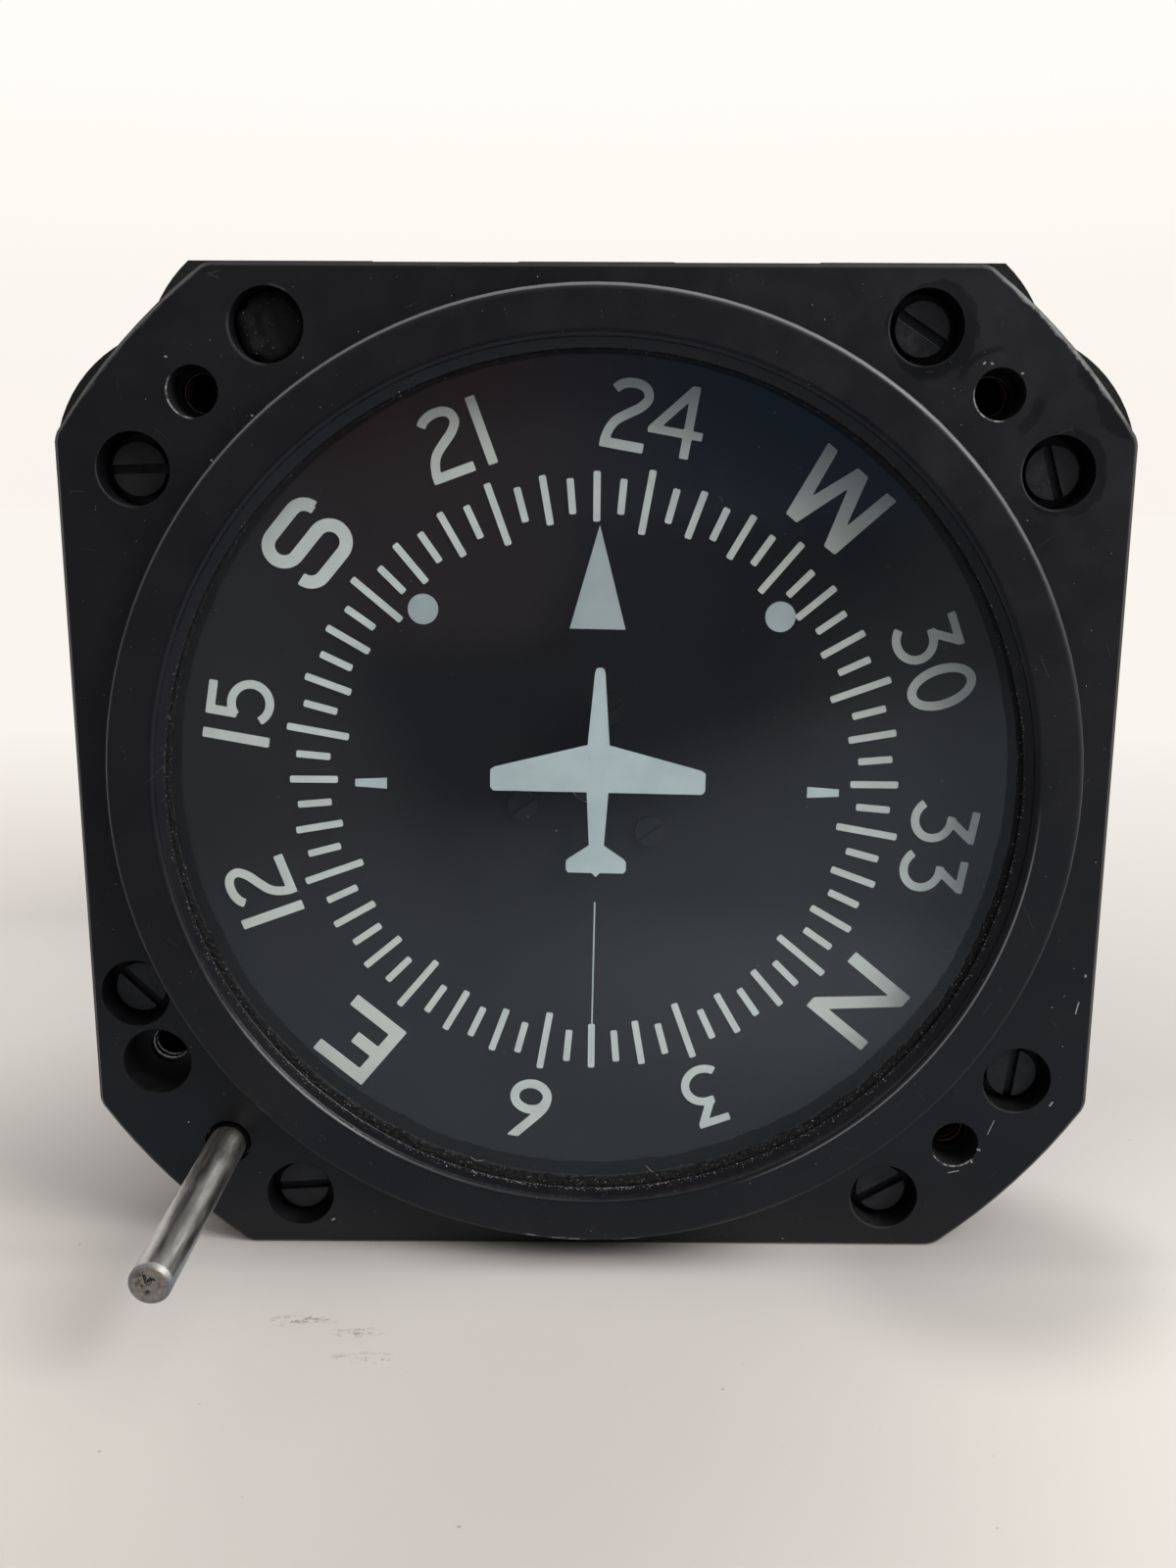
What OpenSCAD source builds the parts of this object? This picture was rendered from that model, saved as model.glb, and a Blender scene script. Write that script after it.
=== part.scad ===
// Directional gyro indicator for an aircraft panel, air driven, with a vertical compass card.
// Millimetres. The origin is the centre of the flange's front face, at y = 0.
// +X is to the pilot's right, +Y to the rear of the instrument and +Z up.

/* [Bezel flange] */
// Width of the flange across its flat sides
flange_w = 85.1; // [78:0.1:100]
// Height of the flange across its flat top and bottom
flange_h = 82.2; // [78:0.1:98]
// Radius to which the four corners are turned
corner_r = 50.93; // [48:0.01:60]
// Thickness of the flange
flange_t = 6.4; // [5.6:0.1:8]
// Width of the broken edge round the front face
edge_break = 0.35; // [0.1:0.05:0.5]
// Radius that blends each turned corner into the flat sides
corner_blend = 2.5; // [1:0.1:4]

/* [Bezel ring] */
// Outer radius of the raised ring that fills the panel hole
ring_r = 39.39; // [38.6:0.01:39.6]
// Height of the ring in front of the flange
ring_h = 2.71; // [2.2:0.01:4]
// Rounding of the ring's outer edge
ring_round = 0.55; // [0.2:0.05:0.9]
// Inner radius of the ring's front face
lip_front_r = 35.41; // [35.2:0.01:36]
// Radius of the window opening in front of the glass
window_r = 34.65; // [33.6:0.01:34.9]
// Rounding of the ring's inner edge
lip_round = 0.45; // [0.2:0.05:0.6]

/* [Glass] */
// Radius of the glass disc
glass_r = 36.5; // [35.9:0.1:36.5]
// Thickness of the glass
glass_t = 2.2; // [1.6:0.1:2.6]
// Depth of the glass's front face behind the front of the ring
glass_depth = 1.31; // [1.2:0.01:1.6]
// Thickness of the seal in front of the glass
seal_t = 0.3; // [0.2:0.05:0.4]
// Turn of the printed glass from true, clockwise, in degrees
glass_turn = 1.0; // [0:0.1:2]
// Thickness of printed marks
print_t = 0.08; // [0.05:0.01:0.12]

/* [Compass card] */
// Radius of the card
card_r = 36.3; // [35:0.1:36.4]
// Thickness of the card
card_t = 0.8; // [0.5:0.1:1.2]
// Gap between the back of the glass and the card
card_gap = 2.4; // [2.2:0.1:3.2]
// Outer radius of the tick marks
tick_r = 26.0; // [24:0.1:28]
// Width of a tick mark
tick_w = 0.58; // [0.4:0.02:0.8]
// Size of the cut corners of a tick mark
tick_corner = 0.1; // [0.05:0.01:0.15]
// Heading under the index at rest, in degrees
heading = 229.7; // [0:0.1:360]
// Radius of the circle of card screws
card_screw_r = 6.3; // [5.6:0.1:7]

/* [Fasteners] */
// Radius of the circle of bezel screws and mounting holes
bolt_circle_r = 44.45; // [43:0.01:46]
// Angle of each bezel screw from the corner's mounting hole, in degrees
screw_spread = 10; // [9.6:0.1:12]
// Distance from the axis of the screw that makes room for the setting shaft
side_screw_r = 42.8; // [42.6:0.1:43.2]
// Clock angle of that screw, in degrees
side_screw_clock = -114.9; // [-116:0.1:-113]
// Clock angle of the mounting hole beside it, in degrees
side_hole_clock = -122.9; // [-124:0.1:-122.5]
// Radius of the recess round each bezel screw
recess_r = 2.9; // [2.6:0.05:3]
// Depth of the recesses
recess_depth = 3.6; // [3:0.1:4]
// Radius of the screw heads
head_r = 2.15; // [1.9:0.05:2.4]
// Height of the screw heads
head_h = 1.9; // [1.4:0.1:2.2]
// Radius of the screw shanks
shank_r = 1.4; // [1.1:0.05:1.5]
// Radius of the mouth of each mounting hole
mount_mouth_r = 2.0; // [1.8:0.05:2.2]
// Radius of the tapped part of each mounting hole
mount_thread_r = 1.6; // [1.4:0.05:1.75]
// Depth of the wider mouth of each mounting hole
mount_mouth_depth = 3.0; // [2:0.1:4]

/* [Case] */
// Length of the case behind the gasket
case_l = 111; // [109:1:130]
// Outer radius of the case
case_r = 38.9; // [38.6:0.1:39.3]
// Wall of the case
case_wall = 2.2; // [1.8:0.1:2.4]
// Thickness of the case's front flange
case_flange_t = 5.0; // [4:0.1:6]
// Radius that the case's corner lobes reach
lobe_reach = 53.4; // [52:0.1:54]
// Radius of each corner lobe
lobe_r = 11.4; // [10:0.1:12]
// Turn of each lobe's centre from the corner's mounting hole, in degrees
lobe_spread = 7.6; // [6:0.1:9]
// Radius of the lobe round the screw that makes room for the setting shaft
side_lobe_r = 5.6; // [5:0.1:6]
// Height of the upper lobes above the top of the bezel flange
lobe_rise = 0.9; // [0:0.1:1.2]
// Thickness of the gaskets
gasket_t = 0.8; // [0.5:0.1:1]

/* [Gyro] */
// Distance of the gyro's centre behind the flange face
gyro_y = 76; // [74:0.5:78]
// Radius of the rotor
rotor_r = 18.5; // [17:0.1:18.6]
// Width of the rotor
rotor_w = 15; // [12:0.5:15]
// Number of buckets round the rotor
buckets = 24; // [12:2:30]
// Outer radius of the outer gimbal ring
gimbal_r = 28.5; // [28:0.1:28.6]
// Radial thickness of the outer gimbal ring
gimbal_wall = 3.9; // [3:0.1:4]
// Width of the outer gimbal ring
gimbal_w = 7.2; // [6:0.1:8]
// Teeth on each of the two bevel gears
bevel_teeth = 48; // [40:4:56]
// Distance from the gyro's centre to the inner ends of the bevel teeth
bevel_near = 30.2; // [30:0.1:30.6]
// Length of the bevel teeth
bevel_face = 4.0; // [3:0.1:4.2]

/* [Setting and caging] */
// Radius of the setting shaft where the knob sits
shaft_r = 1.5875; // [1.4:0.0001:1.7]
// Height of the shoulder between the knob's seat and the journal
shoulder = 0.25; // [0.2:0.05:0.3]
// Distance of the setting shaft from the instrument's axis
shaft_circle_r = 44.72; // [44:0.01:45.2]
// Length of bare shaft in front of the flange
shaft_out = 22.7; // [15:0.1:30]
// Travel of the shaft when it is pushed in to cage the gyro
cage_travel = 5; // [4.5:0.1:5.2]
// Swing of the caging lever over that travel, in degrees
cage_swing = 24; // [22:0.5:26]

/* [Hidden] */
$fn = 96;

// Clearances
fit = 0.03;
running = 0.04;
loose = 0.3;

// Colours
BLACK = "#1d1f23";
CARD = "#17191c";
MARK = "#a9aeaa";
STEEL = "#a9a9a6";
BRASS = "#b4975a";
ALLOY = "#b9bbbd";
DARK_STEEL = "#2a2b2e";

// Stations along the axis, from the front to the rear
glass_front = glass_depth - ring_h;
glass_back = glass_front + glass_t;
lip_back = glass_front - seal_t;
retainer_t = 1.5;
retainer_back = glass_back + retainer_t;
card_y = glass_back + card_gap;
card_back = card_y + card_t;
case_y = flange_t + gasket_t;
case_end = case_y + case_l;
cover_y = case_end + gasket_t;
cover_t = 4.5;
cover_back = cover_y + cover_t;
plate_t = 2.4;
plate_y = case_y + 2.8;
plate_back = plate_y + plate_t;

// Radii of the bores in the bezel and the case
glass_bore_r = glass_r + loose;
rear_bore_r = card_r + 0.8;
case_in_r = case_r - case_wall;
plate_r = case_in_r - loose;

// Corners of the instrument as clock angles, 0 at the top and 90 at the pilot's right
top_left = -45;
top_right = 45;
bottom_right = 135;
bottom_left = -135;
plain_corners = [top_left, top_right, bottom_right];

// Bezel screws: distance from the axis, clock angle, and the angle at which the slot was left
screws = [
    [bolt_circle_r, top_left - screw_spread, 2],
    [bolt_circle_r, top_left + screw_spread, 14],
    [bolt_circle_r, top_right - screw_spread, -33],
    [bolt_circle_r, top_right + screw_spread, 107],
    [bolt_circle_r, bottom_right - screw_spread, 83],
    [bolt_circle_r, bottom_right + screw_spread, 30],
    [bolt_circle_r, bottom_left - screw_spread, 4],
    [side_screw_r, side_screw_clock, -45]];
slot_w = 0.75;
slot_depth = 0.7;
pocket_floor = 1.3;
bezel_screw_l = flange_t + gasket_t + case_flange_t - recess_depth - 0.4;

// Gear train of the setting shaft: one module fills the distance from the axis to the shaft
card_gear_teeth = 84;
idler_teeth = 16;
pinion_teeth = 12;
gear_module = 2 * shaft_circle_r / (card_gear_teeth + 2 * idler_teeth + pinion_teeth);
card_gear_r = card_gear_teeth * gear_module / 2;
idler_r = idler_teeth * gear_module / 2;
pinion_r = pinion_teeth * gear_module / 2;
idler_circle_r = card_gear_r + idler_r;
addendum = 0.85 * gear_module;
dedendum = 1.1 * gear_module;
backlash = 0.16;
pressure_angle = 20;
card_gear_y = plate_back + 1.6;
card_gear_t = 2.2;
idler_y = plate_back + 1.0;
idler_t = 3.0;

// Setting shaft and what rides on it, in the uncaged position
pinion_t = 3.0;
pinion_y = idler_y + idler_t - 0.2 - cage_travel - pinion_t;
collar_y = idler_y + idler_t + 0.6;
collar_l = 5.0;
collar_r = 4.4;
groove_w = 2.2;
groove_r = 3.0;
groove_y = collar_y + collar_l / 2;
clip_t = 0.7;
clip_gap = 0.1;
housing_end = collar_y + collar_l + clip_gap + clip_t + cage_travel + 0.5;
shaft_end = housing_end + 2.0;
lobe_end = shaft_end + cage_travel + 2.7;
journal_r = shaft_r + shoulder;
shoulder_y = -0.1;
bush_y = 1.0;
bush_r = 2.6;
cavity_r = pinion_r + addendum + 0.6;
idler_pocket_r = idler_r + addendum + 0.5;
housing_r = cavity_r + 1.9;

// Bevel gears: pitch cones of 45 degrees with their tips at the gyro's centre
bevel_far = bevel_near + bevel_face;
bevel_addendum = 0.75;
bevel_dedendum = 0.95;
bevel_rim_t = 1.5;
bevel_groove_w = 0.55 * 2 * PI * bevel_near * sin(45) / bevel_teeth + 0.22;
dish_in_r = bevel_near - 0.9;
dish_t = 1.6;
dish_edge = 42;

// Caging lever, seen in the plane through the axis and the setting shaft as [y, distance from the axis]
lever_arm = cage_travel / 2 / sin(cage_swing / 2);
lever_w = 2.4;
lever_tip_r = 0.9;
lever_tip_at_mid = shaft_circle_r - collar_r + 0.05;
pivot = [groove_y + cage_travel / 2, lever_tip_at_mid - lever_arm];
pad_r = 1.2;
rim_corner = [gyro_y - (bevel_far + bevel_dedendum + bevel_rim_t) * sin(45),
    (bevel_far - bevel_dedendum - bevel_rim_t) * sin(45)];
pad_caged = rim_corner + [-0.92, 1.2];
pad_arm = norm(pad_caged - pivot);
pad_angle = atan2(pad_caged[1] - pivot[1], pad_caged[0] - pivot[0]) + cage_swing;
lever_pin_r = 1.0;

// Mechanism frame
arm_half_w = 6;
arm_t = 2.6;
arm_top = 35.6;
arm_end = gyro_y + 14;
bridge_y = pivot[0];
bridge_t = 2.6;
lug_r = 3.4;
frame_screw_r = case_in_r - 2.9;
frame_screw_clocks = [30, 150, -90];
frame_shank_r = 1.0;
trunnion_r = 1.6;
trunnion_end = 35.2;
bearing_r = 3.4;
card_shaft_r = 2.0;
card_bearing_r = 3.6;
duct_r = 2.2;
duct_z = 31.4;

// Gimbals and rotor
gimbal_in_r = gimbal_r - gimbal_wall;
cage_ball_r = gimbal_in_r - 0.5;
cage_half_x = 17;
cage_half_y = 23;
cage_wall = 3.2;
cage_half_z = 4.8;
pivot_r = 1.2;
gimbal_bush_r = 2.4;
spin_bearing_r = 3.2;
rotor_shaft_r = 1.5;

// Rear cover
cover_r = case_r + 1.6;
rim_l = 6;
cover_screw_r = case_in_r - 2.5;
cover_screw_clocks = [30 : 60 : 330];
filter_z = 19.5;
filter_r = 15.3;
filter_t = 3.6;
filter_wall = 0.9;
port_z = -20;
port_thread_r = 5.6;
port_boss_h = 6;
port_pipe_r = 4.8;
port_pipe_l = 14;
port_bore_r = 3.2;

// Places a piece at a distance from the axis in the direction of a clock angle
module at_clock(distance, clock) {
    translate([distance * sin(clock), 0, distance * cos(clock)]) children();
}

// Extrudes an outline, drawn as the pilot sees it, from y0 to y1
module slab(y0, y1) {
    translate([0, y1, 0]) rotate([90, 0, 0]) linear_extrude(y1 - y0) children();
}

// Turns a profile of [radius, y] points about the instrument's axis
module turned(points) {
    rotate([90, 0, 0]) rotate_extrude($fn = 180) polygon([for (p = points) [p[0], -p[1]]]);
}

// A round bar along the axis direction
module bar(y0, y1, r) {
    slab(y0, y1) circle(r);
}

// A tube along the axis direction
module pipe(y0, y1, outer, inner) {
    difference() {
        bar(y0, y1, outer);
        bar(y0 - 1, y1 + 1, inner);
    }
}

// A slotted screw with its head toward the pilot: its head's front face is at y0
module slotted_screw(y0, r, h, shank, shank_l, slot, slot_turn) {
    difference() {
        union() {
            bar(y0, y0 + h, r);
            bar(y0 + h, y0 + h + shank_l, shank);
        }
        rotate([0, -slot_turn, 0]) translate([-r - 1, y0 - 1, -slot / 2]) cube([2 * r + 2, 1 + slot, slot]);
    }
}

// Outline of a spur gear with straight-flanked teeth, the first one centred on +X
module gear_outline(teeth) {
    r = teeth * gear_module / 2;
    half = PI * gear_module / 4 - backlash / 2;
    tip = half - addendum * tan(pressure_angle);
    root = half + dedendum * tan(pressure_angle);
    polygon([for (i = [0 : teeth - 1], c = [[-1, -dedendum, root], [-1, addendum, tip],
                                            [1, addendum, tip], [1, -dedendum, root]])
        let (d = r + c[1], a = 360 * i / teeth + c[0] * c[2] / r * 180 / PI) [d * cos(a), d * sin(a)]]);
}

// A bevel gear on the +Z axis with its pitch cone's tip at the origin
module bevel_gear(first_groove, hub_r, hub_h, bore) {
    out = [cos(45), -sin(45)];
    along = [sin(45), cos(45)];
    back = bevel_dedendum + bevel_rim_t;
    difference() {
        union() {
            rotate_extrude($fn = 180) polygon([
                bevel_near * along + bevel_addendum * out,
                bevel_far * along + bevel_addendum * out,
                bevel_far * along - back * out,
                bevel_near * along - back * out]);
            rotate_extrude($fn = 180) intersection() {
                difference() {
                    circle(dish_in_r + dish_t);
                    circle(dish_in_r);
                }
                polygon([[0, 0], [0, 2 * bevel_far],
                    2 * bevel_far * [sin(dish_edge / 2), cos(dish_edge / 2)],
                    2 * bevel_far * [sin(dish_edge), cos(dish_edge)]]);
            }
            translate([0, 0, dish_in_r + 0.1]) cylinder(r = hub_r, h = hub_h);
        }
        translate([0, 0, dish_in_r - 2]) cylinder(r = bore, h = hub_h + 4);
        for (i = [0 : bevel_teeth - 1]) {
            rotate([0, 0, (i + first_groove) * 360 / bevel_teeth]) bevel_groove();
        }
    }
}

// One straight groove along the cone, cut square to it
module bevel_groove() {
    floor_w = bevel_groove_w - 2 * bevel_dedendum * tan(pressure_angle);
    mouth = bevel_addendum + 0.5;
    mouth_w = bevel_groove_w + 2 * mouth * tan(pressure_angle);
    rotate([0, 45, 0]) translate([0, 0, bevel_near - 1]) linear_extrude(bevel_face + 2) polygon([
        [-bevel_dedendum, -floor_w / 2], [mouth, -mouth_w / 2],
        [mouth, mouth_w / 2], [-bevel_dedendum, floor_w / 2]]);
}

// Outline of the case's front flange and its gasket, with a lobe for each screw
module lobed_outline() {
    lobe_centre = lobe_reach - lobe_r;
    intersection() {
        translate([-lobe_reach, -flange_h / 2]) square([2 * lobe_reach, flange_h + lobe_rise]);
        union() {
            circle(bolt_circle_r - 2);
            for (corner = [top_left, top_right, bottom_right, bottom_left], side = [-1, 1]) {
                rotate(-corner - side * lobe_spread) translate([0, lobe_centre]) circle(lobe_r);
            }
            rotate(-side_screw_clock) translate([0, side_screw_r]) circle(side_lobe_r);
        }
    }
}

// Outline of the holes round the bezel screws
module screw_holes(hole_r) {
    for (s = screws) rotate(-s[1]) translate([0, s[0]]) circle(hole_r);
}

// Outline of the room for a long mounting screw behind each mounting hole
module mount_pockets() {
    for (c = concat(plain_corners, side_hole_clock)) {
        rotate(-c) translate([0, bolt_circle_r]) circle(mount_mouth_r + 0.6);
    }
}

// Outline of the lobe on the case that houses the setting shaft
module housing_outline() {
    rotate(-bottom_left) {
        translate([0, shaft_circle_r]) circle(housing_r);
        translate([-housing_r, case_in_r - 2]) square([2 * housing_r, shaft_circle_r - case_in_r + 2]);
    }
}

module bezel_flange() {
    ring_edge = [for (a = [0 : 15 : 90])
        [ring_r - ring_round * (1 - sin(a)), ring_round * (1 - cos(a)) - ring_h]];
    color(BLACK) difference() {
        union() {
            flange_plate();
            turned(concat([[window_r - 1, 0.1], [window_r - 1, -ring_h]], ring_edge, [[ring_r, 0.1]]));
        }
        bezel_bore();
        for (s = screws) at_clock(s[0], s[1]) {
            bar(-1, recess_depth, recess_r);
            bar(0, flange_t + 1, shank_r + fit);
        }
        for (c = plain_corners) at_clock(bolt_circle_r, c) mounting_hole(mount_mouth_r, mount_mouth_depth);
        at_clock(bolt_circle_r, side_hole_clock) mounting_hole(recess_r, recess_depth);
        at_clock(shaft_circle_r, bottom_left) {
            bar(-1, flange_t + 1, journal_r + running + 0.1);
            bar(bush_y, flange_t + 1, bush_r);
        }
    }
}

// A disc as thick as the flange, its front edge broken
module broken_disc(r) {
    turned([[0, 0], [r - edge_break, 0], [r, edge_break], [r, flange_t], [0, flange_t]]);
}

// The flange: a turned disc cut to a rectangle, its front edges broken and its corners blended
module flange_plate() {
    edge = edge_break * sqrt(2);
    difference() {
        intersection() {
            slab(0, flange_t) square([flange_w, flange_h], center = true);
            broken_disc(corner_r);
        }
        for (side = [-1, 1]) {
            translate([0, 0, side * flange_h / 2]) rotate([45, 0, 0])
                cube([flange_w + 2, edge, edge], center = true);
            translate([side * flange_w / 2, 0, 0]) rotate([0, 0, 45])
                cube([edge, edge, flange_h + 2], center = true);
        }
        for (left = [0, 1], down = [0, 1]) mirror([left, 0, 0]) mirror([0, 0, down]) {
            corner_waste(flange_w / 2 - corner_blend);
            mirror([1, 0, -1]) corner_waste(flange_h / 2 - corner_blend);
        }
    }
}

// What the blend takes off where a flat side at x = from_axis + corner_blend meets the turned corner
module corner_waste(from_axis) {
    centre_r = corner_r - corner_blend;
    centre = [from_axis, sqrt(centre_r * centre_r - from_axis * from_axis)];
    beyond = corner_blend + 1;
    difference() {
        slab(-1, flange_t + 1) polygon([centre, centre + [beyond, 0], centre * (1 + beyond / centre_r)]);
        translate([centre[0], 0, centre[1]]) broken_disc(corner_blend + 0.02);
    }
}

// The stepped bore: rounded lip, cone, window, glass seat and rear bore
module bezel_bore() {
    lip = [for (a = [0 : 15 : 90])
        [lip_front_r + lip_round * (1 - sin(a)), lip_round * (1 - cos(a)) - ring_h]];
    turned(concat([[0, -ring_h - 1], [lip_front_r + lip_round, -ring_h - 1]], lip,
        [[window_r, lip_back - 0.25], [window_r, lip_back], [glass_bore_r, lip_back],
         [glass_bore_r, retainer_back + 0.1], [rear_bore_r, retainer_back + 0.1],
         [rear_bore_r, flange_t + 1], [0, flange_t + 1]]));
}

module mounting_hole(mouth_r, mouth_depth) {
    bar(-1, mouth_depth, mouth_r);
    bar(0, flange_t + 1, mount_thread_r);
}

module bezel_screws() {
    color(DARK_STEEL) for (s = screws) {
        at_clock(s[0], s[1])
            slotted_screw(recess_depth - head_h, head_r, head_h, shank_r, bezel_screw_l, slot_w, s[2]);
    }
}

module glass() {
    color("lightblue", 0.25) bar(glass_front, glass_back, glass_r);
}

module glass_seal() {
    color("#0c0c0d") pipe(lip_back, glass_front, glass_r, window_r + 0.1);
}

// A sprung ring with a gap, pressed against the back of the glass
module glass_retainer() {
    color("#141517") difference() {
        pipe(glass_back, retainer_back, glass_bore_r - fit, window_r + 0.55);
        translate([-4, glass_back - 1, 0]) cube([8, retainer_t + 2, glass_r + 2]);
    }
}

// The print on the back of the glass, which is turned a little in its seat
module printed() {
    color(MARK) rotate([0, glass_turn, 0]) slab(glass_back, glass_back + print_t) children();
}

// The aircraft seen from above: half outline from the nose to the tail, then its mirror image
module aircraft_symbol() {
    half = [[0, 9.95], [0.3, 9.85], [0.42, 9.5], [0.9, 3.55], [8.5, 1.6], [8.85, 1.35], [8.85, -0.1],
        [8.6, -0.4], [0.9, -0.4], [0.62, -4.9], [2.3, -6.05], [2.5, -6.3], [2.5, -7.0], [2.3, -7.25],
        [0.35, -7.25], [0, -7.6]];
    mirrored = [for (i = [len(half) - 2 : -1 : 1]) [-half[i][0], half[i][1]]];
    printed() translate([0.3, 0]) polygon(concat(half, mirrored));
}

module index_marks() {
    printed() {
        polygon([[0, 21.3], [2.25, 13.05], [-2.25, 13.05]]);
        for (side = [-1, 1]) translate([0.3 + side * 14.35, 14.35]) circle(1.22);
        for (side = [-1, 1]) {
            polygon([[0.25 + side * 17.3, 0.45], [0.25 + side * 19.9, 0.3],
                [0.25 + side * 19.9, -0.3], [0.25 + side * 17.3, -0.45]]);
        }
        translate([0.22, -24.1]) square([0.12, 14.3]);
    }
}

module flange_gasket() {
    color("#26221d") slab(flange_t, case_y) difference() {
        lobed_outline();
        circle(rear_bore_r);
        screw_holes(shank_r + 0.3);
        mount_pockets();
        rotate(-bottom_left) translate([0, shaft_circle_r]) circle(cavity_r);
        rotate(-bottom_left) translate([0, idler_circle_r]) circle(idler_pocket_r);
    }
}

module case() {
    color(BLACK) difference() {
        union() {
            difference() {
                union() {
                    slab(case_y, case_y + case_flange_t) lobed_outline();
                    turned([[0, case_y], [case_r, case_y], [case_r, case_end - rim_l - 2],
                        [cover_r, case_end - rim_l], [cover_r, case_end], [0, case_end]]);
                    slab(case_y, lobe_end) housing_outline();
                }
                bar(case_y - 1, case_end + 1, case_in_r);
            }
            case_lugs(frame_screw_clocks, frame_screw_r, plate_back, 5);
            case_lugs(cover_screw_clocks, cover_screw_r, case_end - 10, 10);
        }
        slab(case_y - 1, case_y + case_flange_t + 1) screw_holes(shank_r + fit);
        slab(case_y - 1, case_y + case_flange_t - pocket_floor) mount_pockets();
        for (c = frame_screw_clocks) at_clock(frame_screw_r, c)
            bar(plate_back - 1, plate_back + 6, frame_shank_r + fit);
        for (c = cover_screw_clocks) at_clock(cover_screw_r, c)
            bar(case_end - 8, case_end + 1, shank_r + fit);
        setting_housing();
    }
}

// Screw lugs on the inner wall of the case
module case_lugs(clocks, distance, y0, length) {
    intersection() {
        for (c = clocks) at_clock(distance, c) bar(y0, y0 + length, lug_r);
        bar(y0 - 1, y0 + length + 1, case_in_r + case_wall / 2);
    }
}

// What is hollowed out of the case for the setting shaft, the idler and the lever
module setting_housing() {
    at_clock(shaft_circle_r, bottom_left) {
        bar(case_y - 1, housing_end, cavity_r);
        bar(case_y, lobe_end - 1.2, journal_r + running);
    }
    at_clock(idler_circle_r, bottom_left) bar(case_y - 1, idler_y + idler_t + 1.2, idler_pocket_r);
    slot = lever_w / 2 + 1.4;
    ahead = 5.2;
    rotate([0, bottom_left, 0]) translate([-slot, pivot[0] - ahead, case_in_r - 1.5])
        cube([2 * slot, ahead + cage_travel, shaft_circle_r - case_in_r + 1.5]);
}

module rear_gasket() {
    color("#26221d") difference() {
        pipe(case_end, cover_y, cover_r - 0.5, case_in_r - 6);
        translate([0, 0, duct_z]) bar(case_end - 1, cover_y + 1, duct_r + loose);
        for (c = cover_screw_clocks) at_clock(cover_screw_r, c) bar(case_end - 1, cover_y + 1, shank_r + 0.3);
    }
}

module rear_cover() {
    color(BLACK) difference() {
        union() {
            turned([[0, cover_y], [cover_r, cover_y], [cover_r, cover_back - 0.8],
                [cover_r - 0.8, cover_back], [0, cover_back]]);
            translate([0, 0, port_z]) bar(cover_y, cover_back + port_boss_h, port_thread_r + 3.4);
            translate([0, 0, filter_z]) bar(cover_y, cover_back + filter_t - 0.2, 3);
        }
        translate([0, 0, port_z]) bar(cover_y - 1, cover_back + port_boss_h + 1, port_thread_r + fit);
        translate([0, 0, duct_z]) bar(cover_y - 1, cover_back + 1, duct_r - 0.5);
        translate([0, 0, duct_z]) bar(cover_y - 1, cover_y + 2, duct_r + fit);
        translate([0, 0, filter_z]) bar(cover_back - 2, cover_back + filter_t + 1, frame_shank_r + fit);
        for (c = cover_screw_clocks) at_clock(cover_screw_r, c)
            bar(cover_y - 1, cover_back + 1, shank_r + 0.2);
    }
}

// A slotted screw with its head toward the rear: the head's seat is at y0
module rear_screw(y0, r, h, shank, shank_l, slot_turn) {
    difference() {
        union() {
            bar(y0, y0 + h, r);
            bar(y0 - shank_l, y0, shank);
        }
        rotate([0, slot_turn, 0]) translate([-r - 1, y0 + h - slot_depth, -slot_w / 2])
            cube([2 * r + 2, slot_depth + 1, slot_w]);
    }
}

module rear_cover_screws() {
    color(DARK_STEEL) for (c = cover_screw_clocks) {
        at_clock(cover_screw_r, c) rear_screw(cover_back, 2.4, 1.8, shank_r, cover_t + gasket_t + 6, c * 1.7);
    }
}

module filter_element() {
    color("#cfc6ae") translate([0, 0, filter_z]) pipe(cover_back, cover_back + filter_t, filter_r, 3.3);
}

// A pressed cup over the filter, with rings of air holes
module filter_cover() {
    outer = filter_r + 0.3 + filter_wall;
    face = cover_back + filter_t + 0.4;
    color(ALLOY) translate([0, 0, filter_z]) difference() {
        turned([[0, face], [filter_r + 0.3, face], [filter_r + 0.3, cover_back], [outer, cover_back],
            [outer, face + filter_wall - 0.6], [outer - 0.6, face + filter_wall], [0, face + filter_wall]]);
        bar(face - 1, face + 2, frame_shank_r + 0.2);
        for (i = [0 : 5]) at_clock(6, 60 * i) bar(face - 1, face + 2, 1.3);
        for (i = [0 : 11]) at_clock(11, 30 * i + 15) bar(face - 1, face + 2, 1.3);
    }
}

module filter_screw() {
    seat = cover_back + filter_t + 0.4 + filter_wall;
    color(STEEL) translate([0, 0, filter_z]) rear_screw(seat, 2.4, 1.4, frame_shank_r, filter_t + 1.6, 25);
}

module vacuum_fitting() {
    seat = cover_back + port_boss_h;
    color(BRASS) translate([0, 0, port_z]) difference() {
        union() {
            bar(seat - 8, seat, port_thread_r);
            slab(seat, seat + 6) circle(8, $fn = 6);
            turned([[0, seat + 6], [port_pipe_r, seat + 6], [port_pipe_r, seat + 5.4 + port_pipe_l],
                [port_pipe_r - 0.6, seat + 6 + port_pipe_l], [0, seat + 6 + port_pipe_l]]);
        }
        bar(seat - 9, seat + 7 + port_pipe_l, port_bore_r);
    }
}

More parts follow.
